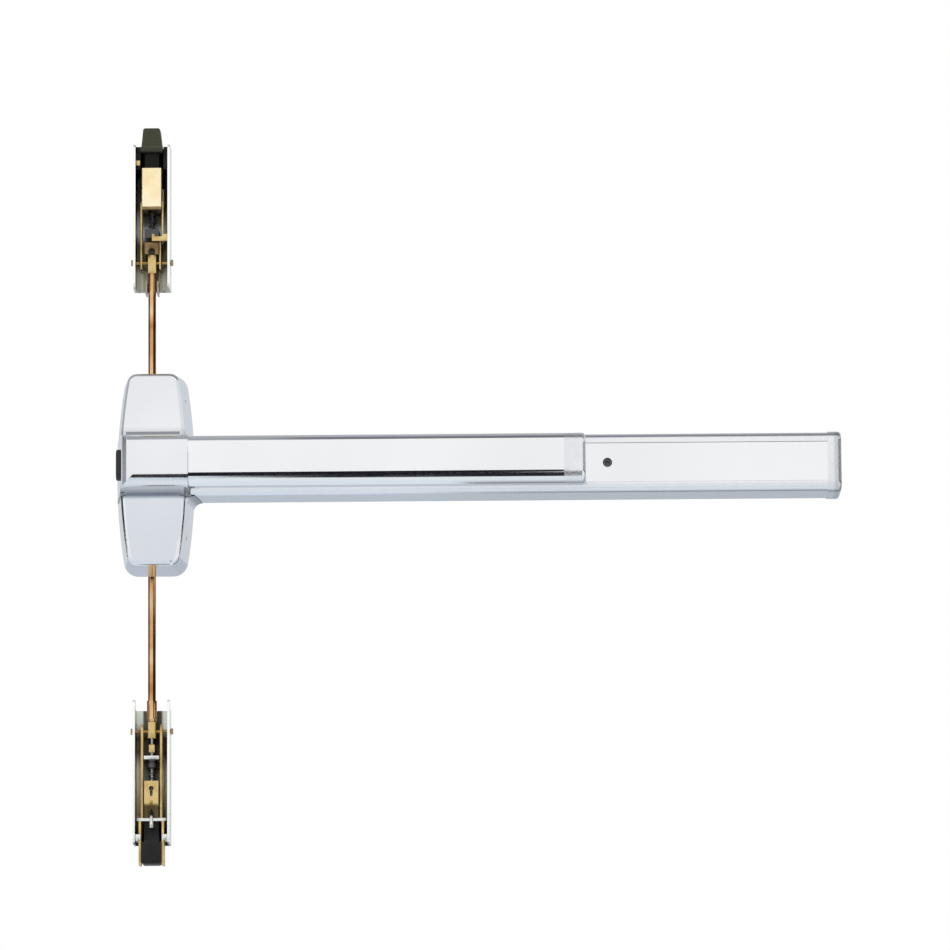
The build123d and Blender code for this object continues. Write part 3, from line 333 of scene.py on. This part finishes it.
def facing_points(name, places):
    """A mesh of bare points, each with the direction that its fastener faces."""
    mesh = bpy.data.meshes.new(name)
    mesh.from_pydata([place for place, _ in places], [], [])
    facing = mesh.attributes.new("facing", "FLOAT_VECTOR", "POINT")
    for i, (_, direction) in enumerate(places):
        facing.data[i].vector = direction
    return mesh


def screw_tree():
    """Round head with a cross recess, on a plain shank, set at every point."""
    tree, entry, leave = new_tree("cross recess screws", [
        ("Head Radius", "NodeSocketFloat"), ("Head Height", "NodeSocketFloat"),
        ("Shank Radius", "NodeSocketFloat"), ("Shank Length", "NodeSocketFloat"),
        ("Finish", "NodeSocketMaterial")])
    add, link = tree.nodes.new, tree.links.new

    def cylinder(radius, depth, sides):
        drum = add("GeometryNodeMeshCylinder")
        drum.inputs["Vertices"].default_value = sides
        link(entry.outputs[radius], drum.inputs["Radius"])
        link(entry.outputs[depth], drum.inputs["Depth"])
        return drum.outputs["Mesh"]

    def times(label, factor):
        return worked(tree, "MULTIPLY", entry.outputs[label], factor)

    def lowered(mesh, label, factor):
        offset = add("ShaderNodeCombineXYZ")
        move = add("GeometryNodeTransform")
        link(times(label, factor), offset.inputs["Z"])
        link(mesh, move.inputs["Geometry"])
        link(offset.outputs["Vector"], move.inputs["Translation"])
        return move.outputs["Geometry"]

    head = lowered(cylinder("Head Radius", "Head Height", 40), "Head Height", 0.5)
    cut = add("GeometryNodeMeshBoolean")
    cut.operation = "DIFFERENCE"
    link(head, cut.inputs["Mesh 1"])
    slot_length, slot_width, slot_height, slot_middle = 1.25, 0.30, 1.1, 0.95
    for long_way in ("X", "Y"):
        size = add("ShaderNodeCombineXYZ")
        bar = add("GeometryNodeMeshCube")
        for axis in ("X", "Y"):
            link(times("Head Radius", slot_length if axis == long_way else slot_width), size.inputs[axis])
        link(times("Head Height", slot_height), size.inputs["Z"])
        link(size.outputs["Vector"], bar.inputs["Size"])
        link(lowered(bar.outputs["Mesh"], "Head Height", slot_middle), cut.inputs["Mesh 2"])
    shank = lowered(cylinder("Shank Radius", "Shank Length", 20), "Shank Length", -0.5)
    both = add("GeometryNodeJoinGeometry")
    link(cut.outputs["Mesh"], both.inputs["Geometry"])
    link(shank, both.inputs["Geometry"])
    facing = add("GeometryNodeInputNamedAttribute")
    facing.data_type = "FLOAT_VECTOR"
    facing.inputs["Name"].default_value = "facing"
    turn = add("FunctionNodeAlignRotationToVector")
    turn.axis = "Z"
    link(facing.outputs["Attribute"], turn.inputs["Vector"])
    place = add("GeometryNodeInstanceOnPoints")
    link(entry.outputs["Geometry"], place.inputs["Points"])
    link(both.outputs["Geometry"], place.inputs["Instance"])
    link(turn.outputs["Rotation"], place.inputs["Rotation"])
    close_tree(tree, entry, leave, place.outputs["Instances"])
    return tree


plated_steel = metal("zinc plated steel", [(0.56, 0.57, 0.58), (0.68, 0.69, 0.70)], rough=(0.22, 0.38),
                     fine=900.0, depth=3e-6, cloud=60.0)
screws = screw_tree()
screw_low, screw_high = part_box("end_cap_screws")
head_height = 2.0 * millimetre
head_radius = 3.7 * millimetre
shank_radius = 2.05 * millimetre
hole_radius = 3.8 * millimetre
head_seat_x = screw_high.x - head_height
end_screw_z = screw_high.z - hole_radius
end_screw_y = (screw_low.y + screw_high.y) / 2
grow("end_cap_cross_screws", screws,
     facing_points("end_cap_screw_places", [
         ((head_seat_x, end_screw_y, side * end_screw_z), (1, 0, 0)) for side in (1, -1)]),
     {"Head Radius": head_radius, "Head Height": head_height, "Shank Radius": shank_radius,
      "Shank Length": head_seat_x - screw_low.x, "Finish": plated_steel},
     "frame", ["end_cap_screws"])

# Cover screws. Five black oxide steel screws hold the case cover to its chassis, four through its sides and
# one through the band's lower flank. They sit just below the skin, so only their dark ends show.

black_oxide = metal("black oxide steel", [(0.07, 0.07, 0.075), (0.13, 0.13, 0.135)], rough=(0.28, 0.45),
                    fine=1500.0)
dress("cover_screws", black_oxide)

# Side plug. A moulded black oval cap that is pressed into the band's left side, where the bar of the other
# hand would leave the case.

plug_black, tree, shader, place = blank_finish("moulded black plug")
shader.inputs["Base Color"].default_value = (0.018, 0.018, 0.02, 1)
shader.inputs["Specular IOR Level"].default_value = 0.4
moulded = grain(tree, place, 2500.0)
tree.links.new(spread(tree, moulded, 0.38, 0.52), shader.inputs["Roughness"])
relief(tree, shader, moulded, 1.5e-5)
dress("side_plug", plug_black)

# Hardware inside the case and the bar. Zinc plated pressings, and black pins and screws, seen only through
# the back, the open ends and the key hole.

for node in ("case_chassis", "rocker_post", "lift_guide_posts", "end_cap_bracket", "rail_joint_plate",
             "linkage_base", "crank_brackets", "dogging_bracket", "link_bar", "rocker", "upper_lift",
             "lower_lift", "crank_left", "crank_right", "pad_brackets"):
    dress(node, plated_steel)
for node in ("crank_pins", "dogging_screw"):
    dress(node, black_oxide)

# Rods. Cold drawn steel with a copper coloured finish, darkened by handling. Fine drawing lines run along
# them, and each rod's end is threaded for the hexagon nut under its lift.

copper = metal("copper finished rod", [(0.48, 0.21, 0.07), (0.70, 0.40, 0.18), (0.84, 0.57, 0.33)],
               rough=(0.04, 0.10), fine=900.0, stretch=(1, 1, 0.03), depth=1e-6, cloud=34.0)
nut_edge = 0.35 * millimetre
for node in ("upper_rod", "lower_rod"):
    dress(node, copper)
for node in ("upper_rod_nut", "lower_rod_nut"):
    eased(node, plated_steel, nut_edge)


def coil_tree():
    """A wire wound round an upright axis, or a thread's ridge, which is the same thing with fewer sides."""
    tree, entry, leave = new_tree("wound wire", [
        ("Turns", "NodeSocketFloat"), ("Radius", "NodeSocketFloat"), ("Height", "NodeSocketFloat"),
        ("Wire Radius", "NodeSocketFloat"), ("Sides", "NodeSocketInt"), ("Start", "NodeSocketVector"),
        ("Finish", "NodeSocketMaterial")])
    add, link = tree.nodes.new, tree.links.new
    spiral = add("GeometryNodeCurveSpiral")
    spiral.inputs["Resolution"].default_value = 28
    link(entry.outputs["Turns"], spiral.inputs["Rotations"])
    link(entry.outputs["Radius"], spiral.inputs["Start Radius"])
    link(entry.outputs["Radius"], spiral.inputs["End Radius"])
    link(entry.outputs["Height"], spiral.inputs["Height"])
    section = add("GeometryNodeCurvePrimitiveCircle")
    link(entry.outputs["Sides"], section.inputs["Resolution"])
    link(entry.outputs["Wire Radius"], section.inputs["Radius"])
    wire = add("GeometryNodeCurveToMesh")
    wire.inputs["Fill Caps"].default_value = True
    link(spiral.outputs["Curve"], wire.inputs["Curve"])
    link(section.outputs["Curve"], wire.inputs["Profile Curve"])
    move = add("GeometryNodeTransform")
    link(wire.outputs["Mesh"], move.inputs["Geometry"])
    link(entry.outputs["Start"], move.inputs["Translation"])
    close_tree(tree, entry, leave, move.outputs["Geometry"])
    return tree


wound = coil_tree()
rod_low, rod_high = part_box("upper_rod")
rod_y = (rod_low.y + rod_high.y) / 2
thread_pitch = 1.25 * millimetre
thread_radius = 3.7 * millimetre
thread_length = 18.0 * millimetre
ridge_share = 0.42


def thread(name, radius, pitch, low, high, body, finish):
    """The ridge of a fine thread on a rod between two heights."""
    grow(name, wound, bpy.data.meshes.new(name), {
        "Turns": (high - low) / pitch, "Radius": radius, "Height": high - low,
        "Wire Radius": ridge_share * pitch, "Sides": 4, "Start": (0, rod_y, low), "Finish": finish},
        body)


thread("upper_rod_thread", thread_radius, thread_pitch, rod_low.z, rod_low.z + thread_length,
       "upper_train", copper)
lower_rod_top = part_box("lower_rod")[1].z
thread("lower_rod_thread", thread_radius, thread_pitch, lower_rod_top - thread_length, lower_rod_top,
       "lower_train", copper)

# Latch cases. Channels folded from 2.4 mm steel sheet and bright zinc plated, open to the front. The plate
# has soft clouds and rolling marks along the fold. Inside, painted shade darkens it, by a different amount at
# each height, and most in the middle of the web.

fold_edge = 0.4 * millimetre


def shaded_sheet(name, node, shade_stops, middle):
    """Bright zinc on the edges and outside, with painted shade inside by height, and more painted shade in
    the middle of the web.
    """
    low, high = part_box(node)
    material, tree, shader, place = blank_finish(name)
    shader.inputs["Metallic"].default_value = 0.6
    bright_zinc = tones_of(tree, grain(tree, place, 70.0, (1, 1, 0.35)),
                     [(0.86, 0.87, 0.82), (0.92, 0.93, 0.89), (0.96, 0.97, 0.94)])
    streaks = grain(tree, place, 130.0, (1, 1, 0.12))
    streak_share = 0.10
    height = along(tree, place, "Z", low.z, high.z)
    shade_by_height = ramp_of(tree, worked(tree, "MULTIPLY_ADD", streaks, streak_share, height), shade_stops)
    apart = tree.nodes.new("ShaderNodeSeparateXYZ")
    tree.links.new(place, apart.inputs["Vector"])
    aside = worked(tree, "ABSOLUTE", apart.outputs["X"])
    near_middle = ranged(tree, aside, 10.5 * millimetre, 8.5 * millimetre, 0.0, middle)
    # Painted shade: the interior darkens by height, and to near black in the middle of the web.
    inner_shade = blend_of(tree, near_middle, shade_by_height, flat_tone(tree, (0.012, 0.011, 0.009)))
    between_walls = ranged(tree, aside, high.x - 0.2 * millimetre, high.x - 0.8 * millimetre)
    behind_edges = along(tree, place, "Y", low.y + 1.0 * millimetre, low.y + 3.5 * millimetre)
    before_back = along(tree, place, "Y", high.y - 0.2 * millimetre, high.y - 1.0 * millimetre)
    inside = worked(tree, "MULTIPLY", worked(tree, "MULTIPLY", between_walls, behind_edges), before_back)
    tree.links.new(blend_of(tree, inside, bright_zinc, inner_shade), shader.inputs["Base Color"])
    rolled = grain(tree, place, 700.0, (1, 1, 0.06))
    tree.links.new(spread(tree, rolled, 0.16, 0.30), shader.inputs["Roughness"])
    relief(tree, shader, rolled, 1e-6)
    return material


eased("top_latch_case", shaded_sheet("zinc sheet of the top latch", "top_latch_case", [
    (0.0, (0.62, 0.61, 0.54)), (0.16, (0.42, 0.40, 0.31)), (0.28, (0.15, 0.13, 0.075)),
    (0.40, (0.10, 0.09, 0.06)), (0.46, (0.52, 0.55, 0.56)), (0.56, (0.36, 0.37, 0.36)),
    (0.64, (0.04, 0.035, 0.020)), (0.80, (0.006, 0.006, 0.005))], middle=0.35), fold_edge)
eased("bottom_latch_case", shaded_sheet("zinc sheet of the bottom latch", "bottom_latch_case", [
    (0.14, (0.04, 0.036, 0.025)), (0.24, (0.50, 0.48, 0.37)), (0.42, (0.74, 0.73, 0.62)),
    (0.60, (0.70, 0.70, 0.59)), (0.70, (0.12, 0.095, 0.055)), (0.82, (0.14, 0.12, 0.08)),
    (0.90, (0.66, 0.70, 0.63))], middle=0.90), fold_edge)

# Bolts. Sintered steel blocks with a black coating that is rubbed thin along the edges where they strike the
# frame. The top one is faced olive black, the bottom one is deeper black.


def coated(name, coat, worn):
    """Black coating with a fine texture, rubbed to bare metal at the edges."""
    material, tree, shader, place = blank_finish(name)
    shader.inputs["Specular IOR Level"].default_value = 0.22
    rounded = tree.nodes.new("ShaderNodeBevel")
    rounded.inputs["Radius"].default_value = 0.5 * millimetre
    flat = tree.nodes.new("ShaderNodeNewGeometry")
    same = tree.nodes.new("ShaderNodeVectorMath")
    same.operation = "DOT_PRODUCT"
    tree.links.new(rounded.outputs["Normal"], same.inputs[0])
    tree.links.new(flat.outputs["True Normal"], same.inputs[1])
    at_edges = ranged(tree, same.outputs["Value"], 0.995, 0.90)
    patches = spread(tree, grain(tree, place, 260.0), 0.0, 0.7)
    wear = worked(tree, "MULTIPLY", at_edges, patches)
    mottle = tones_of(tree, grain(tree, place, 500.0), [tuple(0.75 * c for c in coat), coat])
    tree.links.new(blend_of(tree, wear, mottle, flat_tone(tree, worn)), shader.inputs["Base Color"])
    fine = grain(tree, place, 2600.0)
    tree.links.new(spread(tree, fine, 0.42, 0.58), shader.inputs["Roughness"])
    relief(tree, shader, fine, 2.5e-5)
    return material


top_bolt_edge = 0.7 * millimetre
bottom_bolt_edge = 0.5 * millimetre
olive_black = coated("olive black coating", (0.045, 0.046, 0.027), (0.26, 0.25, 0.19))
top_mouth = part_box("top_latch_case")[1].z
top_shade_start = top_mouth - 4.0 * millimetre
top_shade_full = top_mouth - 9.0 * millimetre
# Painted shade on the top bolt's neck inside the case, to near black.
shade_over(olive_black, top_shade_start, top_shade_full, (0.004, 0.004, 0.003))
eased("top_bolt", olive_black, top_bolt_edge, sides=3)
deep_black = coated("deep black coating", (0.010, 0.010, 0.011), (0.16, 0.15, 0.13))
bottom_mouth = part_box("bottom_latch_case")[0].z
bottom_shade_start = bottom_mouth + 2.0 * millimetre
bottom_shade_full = bottom_mouth + 14.0 * millimetre
# Painted shade on the bottom bolt's neck inside the case, to near black.
shade_over(deep_black, bottom_shade_start, bottom_shade_full, (0.003, 0.003, 0.003))
eased("bottom_bolt", deep_black, bottom_bolt_edge, sides=3)
guide_black = plug_black.copy()
shader_of(guide_black).inputs["Specular IOR Level"].default_value = 0.15
dress("top_bolt_guides", guide_black)

# Latch works in yellow zinc. Carriages, clevis, coupling, links and pins are milled or blanked steel with a
# yellow chromate, which runs from pale straw to brown and shows a trace of pink and green.

gold_tones = [(0.52, 0.34, 0.11), (0.66, 0.47, 0.18), (0.74, 0.56, 0.25), (0.60, 0.43, 0.16)]
gold = metal("yellow chromate", gold_tones, rough=(0.30, 0.44), fine=1100.0, stretch=(1, 1, 0.3), depth=1e-6,
             cloud=60.0)
shader_of(gold).inputs["Metallic"].default_value = 0.75
straw = metal("pale straw chromate", [(0.86, 0.70, 0.40), (0.93, 0.81, 0.53), (0.94, 0.86, 0.62)],
              rough=(0.52, 0.66), fine=700.0, stretch=(1, 1, 0.4), depth=1e-6, cloud=40.0)
shader_of(straw).inputs["Metallic"].default_value = 0.35
bronze = metal("dark bronze plate", [(0.14, 0.09, 0.04), (0.27, 0.18, 0.085), (0.38, 0.27, 0.14)],
               rough=(0.28, 0.46), fine=1000.0, depth=4e-6, cloud=70.0)
bronze_gold = metal("brown chromate", [(0.34, 0.20, 0.07), (0.50, 0.33, 0.13), (0.60, 0.42, 0.19)],
                    rough=(0.24, 0.36), fine=1000.0, depth=1e-6, cloud=70.0)
milled_edge = 0.4 * millimetre
turned_edge = 0.8 * millimetre
pressed_edge = 0.3 * millimetre
blanked_edge = 0.15 * millimetre
eased("top_carriage", straw, milled_edge)
carriage_gold = gold.copy()
plate_height = 22.0 * millimetre
plate_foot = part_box("bottom_carriage")[1].z - plate_height
plate_shade_full_z = plate_foot - 3.0 * millimetre
# Painted shade over the set-back lower part of the carriage, below its plate.
shade_over(carriage_gold, plate_foot, plate_shade_full_z, (0.05, 0.035, 0.016), peak=0.92)
dress("bottom_carriage", carriage_gold)
for node in ("upper_clevis", "top_stop_block", "lower_coupling", "lower_links", "upper_link_left",
             "upper_link_right", "bolt_straps", "bottom_stem_nut"):
    eased(node, gold, blanked_edge)
for node in ("upper_cross_pin", "lower_cross_pin"):
    eased(node, bronze_gold, turned_edge, sides=3)
for node in ("top_carriage_plate", "top_bridge"):
    eased(node, bronze, pressed_edge)

# Plain steel pieces of the latches. The seats, the cross bar with its adjusting screw and the guide lugs are
# turned or blanked and bright zinc plated, or blackened. The stems are rods threaded over their whole length.

bright_steel = metal("bright zinc plated steel", [(0.74, 0.75, 0.75), (0.84, 0.85, 0.84)], rough=(0.24, 0.36),
                     fine=900.0, depth=1e-6, cloud=60.0)
for node in ("bottom_spring_seat", "bottom_bolt_lugs"):
    eased(node, bright_steel, blanked_edge)
screw_steel = bright_steel.copy()
bar_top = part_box("lower_cross_bar")[1].z
screw_shade_start_z = bar_top - 9.0 * millimetre
screw_shade_full_z = bar_top - 6.0 * millimetre
# Painted shade over the top of the piece, full from 6 mm below its top and gone by 9 mm below.
shade_over(screw_steel, screw_shade_start_z, screw_shade_full_z, (0.02, 0.018, 0.012))
eased("lower_cross_bar", screw_steel, blanked_edge)
dress("bottom_stem", plated_steel)
for node in ("top_spring_seat", "bottom_spring_cup", "top_stem"):
    dress(node, black_oxide)
stem_radius = 1.5 * millimetre
stem_pitch = 0.8 * millimetre
for node, finish in (("top_stem", black_oxide), ("bottom_stem", plated_steel)):
    stem_low, stem_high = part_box(node)
    thread(node + "_thread", stem_radius, stem_pitch, stem_low.z + stem_pitch, stem_high.z - stem_pitch,
           body_of[node], finish)

# Latch springs. Round hard drawn wire, wound cold and blackened. Each drives its bolt out and shortens as the
# pad is pushed.

spring_turns = 8.0
wire = 0.58 * millimetre


def spring(name, node):
    """A compression spring in the place of its plain solid."""
    low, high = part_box(node)
    piece = grow(name, wound, bpy.data.meshes.new(name), {
        "Turns": spring_turns, "Radius": (high.x - low.x) / 2 - wire, "Height": high.z - low.z - 2 * wire,
        "Wire Radius": wire, "Sides": 10, "Start": (0, rod_y, low.z + wire), "Finish": black_oxide},
        "frame", [node])
    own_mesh(piece)


spring("top_latch_coil", "top_latch_spring")
spring("bottom_latch_coil", "bottom_latch_spring")

# Studio. A pale floor a metre below the bar, which is the height such a bar is hung at, white surroundings,
# and large soft lamps. Dark and grey cards stand where the camera doesn't see them, for the metal to show.


def card(name, corners, tone):
    """A flat card that only shows in reflections."""
    mesh = bpy.data.meshes.new(name)
    mesh.from_pydata(corners, [], [range(len(corners))])
    material = bpy.data.materials.new(name)
    material.use_nodes = True
    tree = material.node_tree
    tree.nodes.remove(tree.nodes["Principled BSDF"])
    glow = tree.nodes.new("ShaderNodeEmission")
    glow.inputs["Color"].default_value = (*tone, 1)
    tree.links.new(glow.outputs["Emission"], tree.nodes["Material Output"].inputs["Surface"])
    mesh.materials.append(material)
    piece = bpy.data.objects.new(name, mesh)
    bpy.context.scene.collection.objects.link(piece)
    for ray in ("visible_camera", "visible_diffuse", "visible_shadow", "visible_transmission"):
        setattr(piece, ray, False)


def oblong(low, high, near, far):
    """The outline of a rectangle."""
    return [(low, near), (high, near), (high, far), (low, far)]


def facing_y(y, outline):
    """Corners of an upright card that faces along Y, from its outline in X and Z."""
    return [(x, y, z) for x, z in outline]


def facing_x(x, outline):
    """Corners of an upright card that faces along X, from its outline in Y and Z."""
    return [(x, y, z) for y, z in outline]


def level(z, outline):
    """Corners of a level card, from its outline in X and Y."""
    return [(x, y, z) for x, y in outline]


# The dark stripe along the pad. A far card carries it for low views, and a thin strip close by covers the
# first degrees, so that level views keep a bright pad.
stripe_black = (0.012, 0.013, 0.018)
stripe_top = -0.355
card("dark_card_low", facing_y(-4.0, [
    (-0.60, -2.1), (-0.16, -2.1), (-0.09, -4.4), (0.34, -6.3), (0.85, -6.3), (0.85, stripe_top),
    (0.49, stripe_top), (0.47, -1.3), (0.435, -1.3), (0.425, stripe_top), (-0.60, stripe_top)]), stripe_black)
card("dark_strip_near", facing_y(-0.13, [
    (-0.0195, -0.0185), (0.410, -0.0185), (0.410, -0.0100), (-0.0195, -0.0122)]), stripe_black)

# Just above the floor, a pale card for the undersides of the case and the pad, and to its right four that
# fade to grey, for the rail.
card_floor = -1.04
split_x, fade_end_x = 0.30, 6.6
card("pale_card_below", level(card_floor, [
    (-6.0, -2.2), (-0.03, -2.2), (0.02, -0.95), (split_x, -0.78), (split_x, 2.1), (-6.0, 2.1)]),
     (0.78, 0.85, 0.91))
for name, near_y, far_y, tone in (
        ("a", -0.78, 0.05, (0.80, 0.84, 0.88)), ("b", 0.05, 0.30, (0.66, 0.70, 0.74)),
        ("c", 0.30, 0.70, (0.46, 0.50, 0.53)), ("d", 0.70, 2.1, (0.26, 0.28, 0.30))):
    card("fading_card_" + name, level(card_floor, oblong(split_x, fade_end_x, near_y, far_y)), tone)

# Close before the lower half of the case and the bar, for their undersides and the lower wing.
case_side, bar_foot = 0.047, -0.0265
card("pale_card_near", facing_y(-0.101, [
    (-0.045, -0.125), (case_side, -0.125), (case_side, -0.080), (0.69, -0.080), (0.69, bar_foot),
    (case_side, bar_foot), (case_side, -0.034), (-0.045, -0.034)]), (0.84, 0.87, 0.90))

# Overhead and behind, for the upper faces and for views from the back.
over_z, over_left, over_right, over_edge = 2.0, -4.0, 4.6, 0.062
card("grey_card_over", level(over_z, oblong(over_edge, over_right, -0.90, 0.30)), (0.20, 0.205, 0.22))
card("grey_card_over_case", level(over_z, oblong(over_left, over_edge, -0.90, 0.30)), (0.40, 0.41, 0.43))
card("grey_card_high", level(over_z, oblong(over_left, over_right, 0.30, 2.3)), (0.46, 0.47, 0.49))
back_foot = -3.2
card("grey_card_back", facing_y(2.2, oblong(over_left, split_x, back_foot, 0.0)), (0.52, 0.57, 0.63))
card("grey_card_back_right", facing_y(2.2, oblong(split_x, over_right, back_foot, 0.0)),
     (0.52, 0.56, 0.61))
card("pale_card_back", facing_y(2.25, oblong(over_left, over_right, 0.0, 2.0)), (0.66, 0.69, 0.73))

lens_rise = 0.152


def mirrored_height(height, x, y):
    """Where on a side card an upright surface at a height shows itself, as the camera looks slightly up."""
    return height + lens_rise * (x * x + y * y) ** 0.5


# The rods and the lower wing mirror the black side cards. The band, the end cap and the upper wing see past
# them to the grey ones.
side_black = (0.035, 0.035, 0.04)
side_foot, side_far, side_steps = -0.30, 6.0, 9
band_top, latch_top = 0.038, 0.345
for name, x, near_y, black_under, grey in (("left", -3.0, -1.1, -0.118, 0.47),
                                         ("right", 3.0, -5.2, -0.165, 0.85)):
    reach = [near_y + (side_far - near_y) * i / (side_steps - 1) for i in range(side_steps)]
    card("side_card_low_" + name, facing_x(x, [(near_y, side_foot), (side_far, side_foot)] + [
        (y, mirrored_height(black_under, x, y)) for y in reversed(reach)]), side_black)
    card("side_card_high_" + name, facing_x(x, [(y, mirrored_height(band_top, x, y)) for y in reach] + [
        (y, mirrored_height(latch_top, x, y)) for y in reversed(reach)]), side_black)
    card("side_card_grey_" + name, facing_x(1.02 * x, oblong(near_y, side_far, side_foot, 2.2)),
         (0.98 * grey, grey, 1.04 * grey))

floor_z, floor_reach = -1.05, 9.0
floor_mesh = bpy.data.meshes.new("floor")
floor_mesh.from_pydata(level(floor_z, oblong(-floor_reach, floor_reach, -floor_reach, floor_reach)), [],
                       [(0, 1, 2, 3)])
paper, tree, shader, place = blank_finish("floor paper")
shader.inputs["Roughness"].default_value = 0.9
tree.links.new(tones_of(tree, grain(tree, place, 3.0), [(0.86, 0.86, 0.86), (0.89, 0.89, 0.89)]),
               shader.inputs["Base Color"])
floor_mesh.materials.append(paper)
floor = bpy.data.objects.new("floor", floor_mesh)
floor.visible_glossy = False
bpy.context.scene.collection.objects.link(floor)


def lamp(name, place, aim, size, power):
    """A soft square lamp that looks at a point."""
    light = bpy.data.lights.new(name, "AREA")
    light.size = size
    light.energy = power
    piece = bpy.data.objects.new(name, light)
    piece.location = place
    piece.rotation_euler = (Vector(aim) - Vector(place)).to_track_quat("-Z", "Y").to_euler()
    piece.visible_glossy = False
    bpy.context.scene.collection.objects.link(piece)


bar_middle = (0.3, -0.05, 0)
lamp("key_lamp", (-1.6, -2.6, 2.4), bar_middle, 2.2, 60)
lamp("fill_lamp", (2.8, -2.4, 0.6), bar_middle, 2.0, 28)
lamp("back_lamp", (0.2, 2.4, 1.8), bar_middle, 2.0, 30)

# The surroundings are pure white where they are seen or mirrored, and a little weaker as a light.
lit_strength = 0.70
world = bpy.data.worlds.new("white studio")
world.use_nodes = True
bpy.context.scene.world = world
tree = world.node_tree
surround = tree.nodes["Background"]
surround.inputs["Color"].default_value = (1, 1, 1, 1)
rays = tree.nodes.new("ShaderNodeLightPath").outputs
seen = worked(tree, "MAXIMUM", rays["Is Camera Ray"], rays["Is Glossy Ray"])
through = worked(tree, "MAXIMUM", seen, rays["Is Transmission Ray"])
tree.links.new(ranged(tree, through, 0.0, 1.0, lit_strength, 1.0), surround.inputs["Strength"])

# Camera. A long lens a little below the bar and nearly square to it, turned so that the bar rises slightly to
# the right, as in the photograph.

camera_distance = 6.5
camera_azimuth = radians(0.42)
camera_elevation = radians(-8.65)
camera_roll = radians(-0.39)
pixels_per_metre = 1009.0
picture_width = 950
sensor_width = 36.0
aim = Vector((0.3221, -0.0123, -0.0049))
back = Vector((sin(camera_azimuth) * cos(camera_elevation), -cos(camera_azimuth) * cos(camera_elevation),
               sin(camera_elevation)))
lens = bpy.data.cameras.new("camera")
lens.sensor_width = sensor_width
lens.lens = pixels_per_metre * camera_distance * sensor_width / picture_width
lens.clip_end = 60.0
camera = bpy.data.objects.new("camera", lens)
camera.matrix_world = (Matrix.Translation(aim + back * camera_distance)
                       @ (-back).to_track_quat("-Z", "Y").to_matrix().to_4x4()
                       @ Matrix.Rotation(camera_roll, 4, "Z"))
bpy.context.scene.collection.objects.link(camera)
bpy.context.scene.camera = camera
bpy.context.scene.view_settings.view_transform = "Standard"
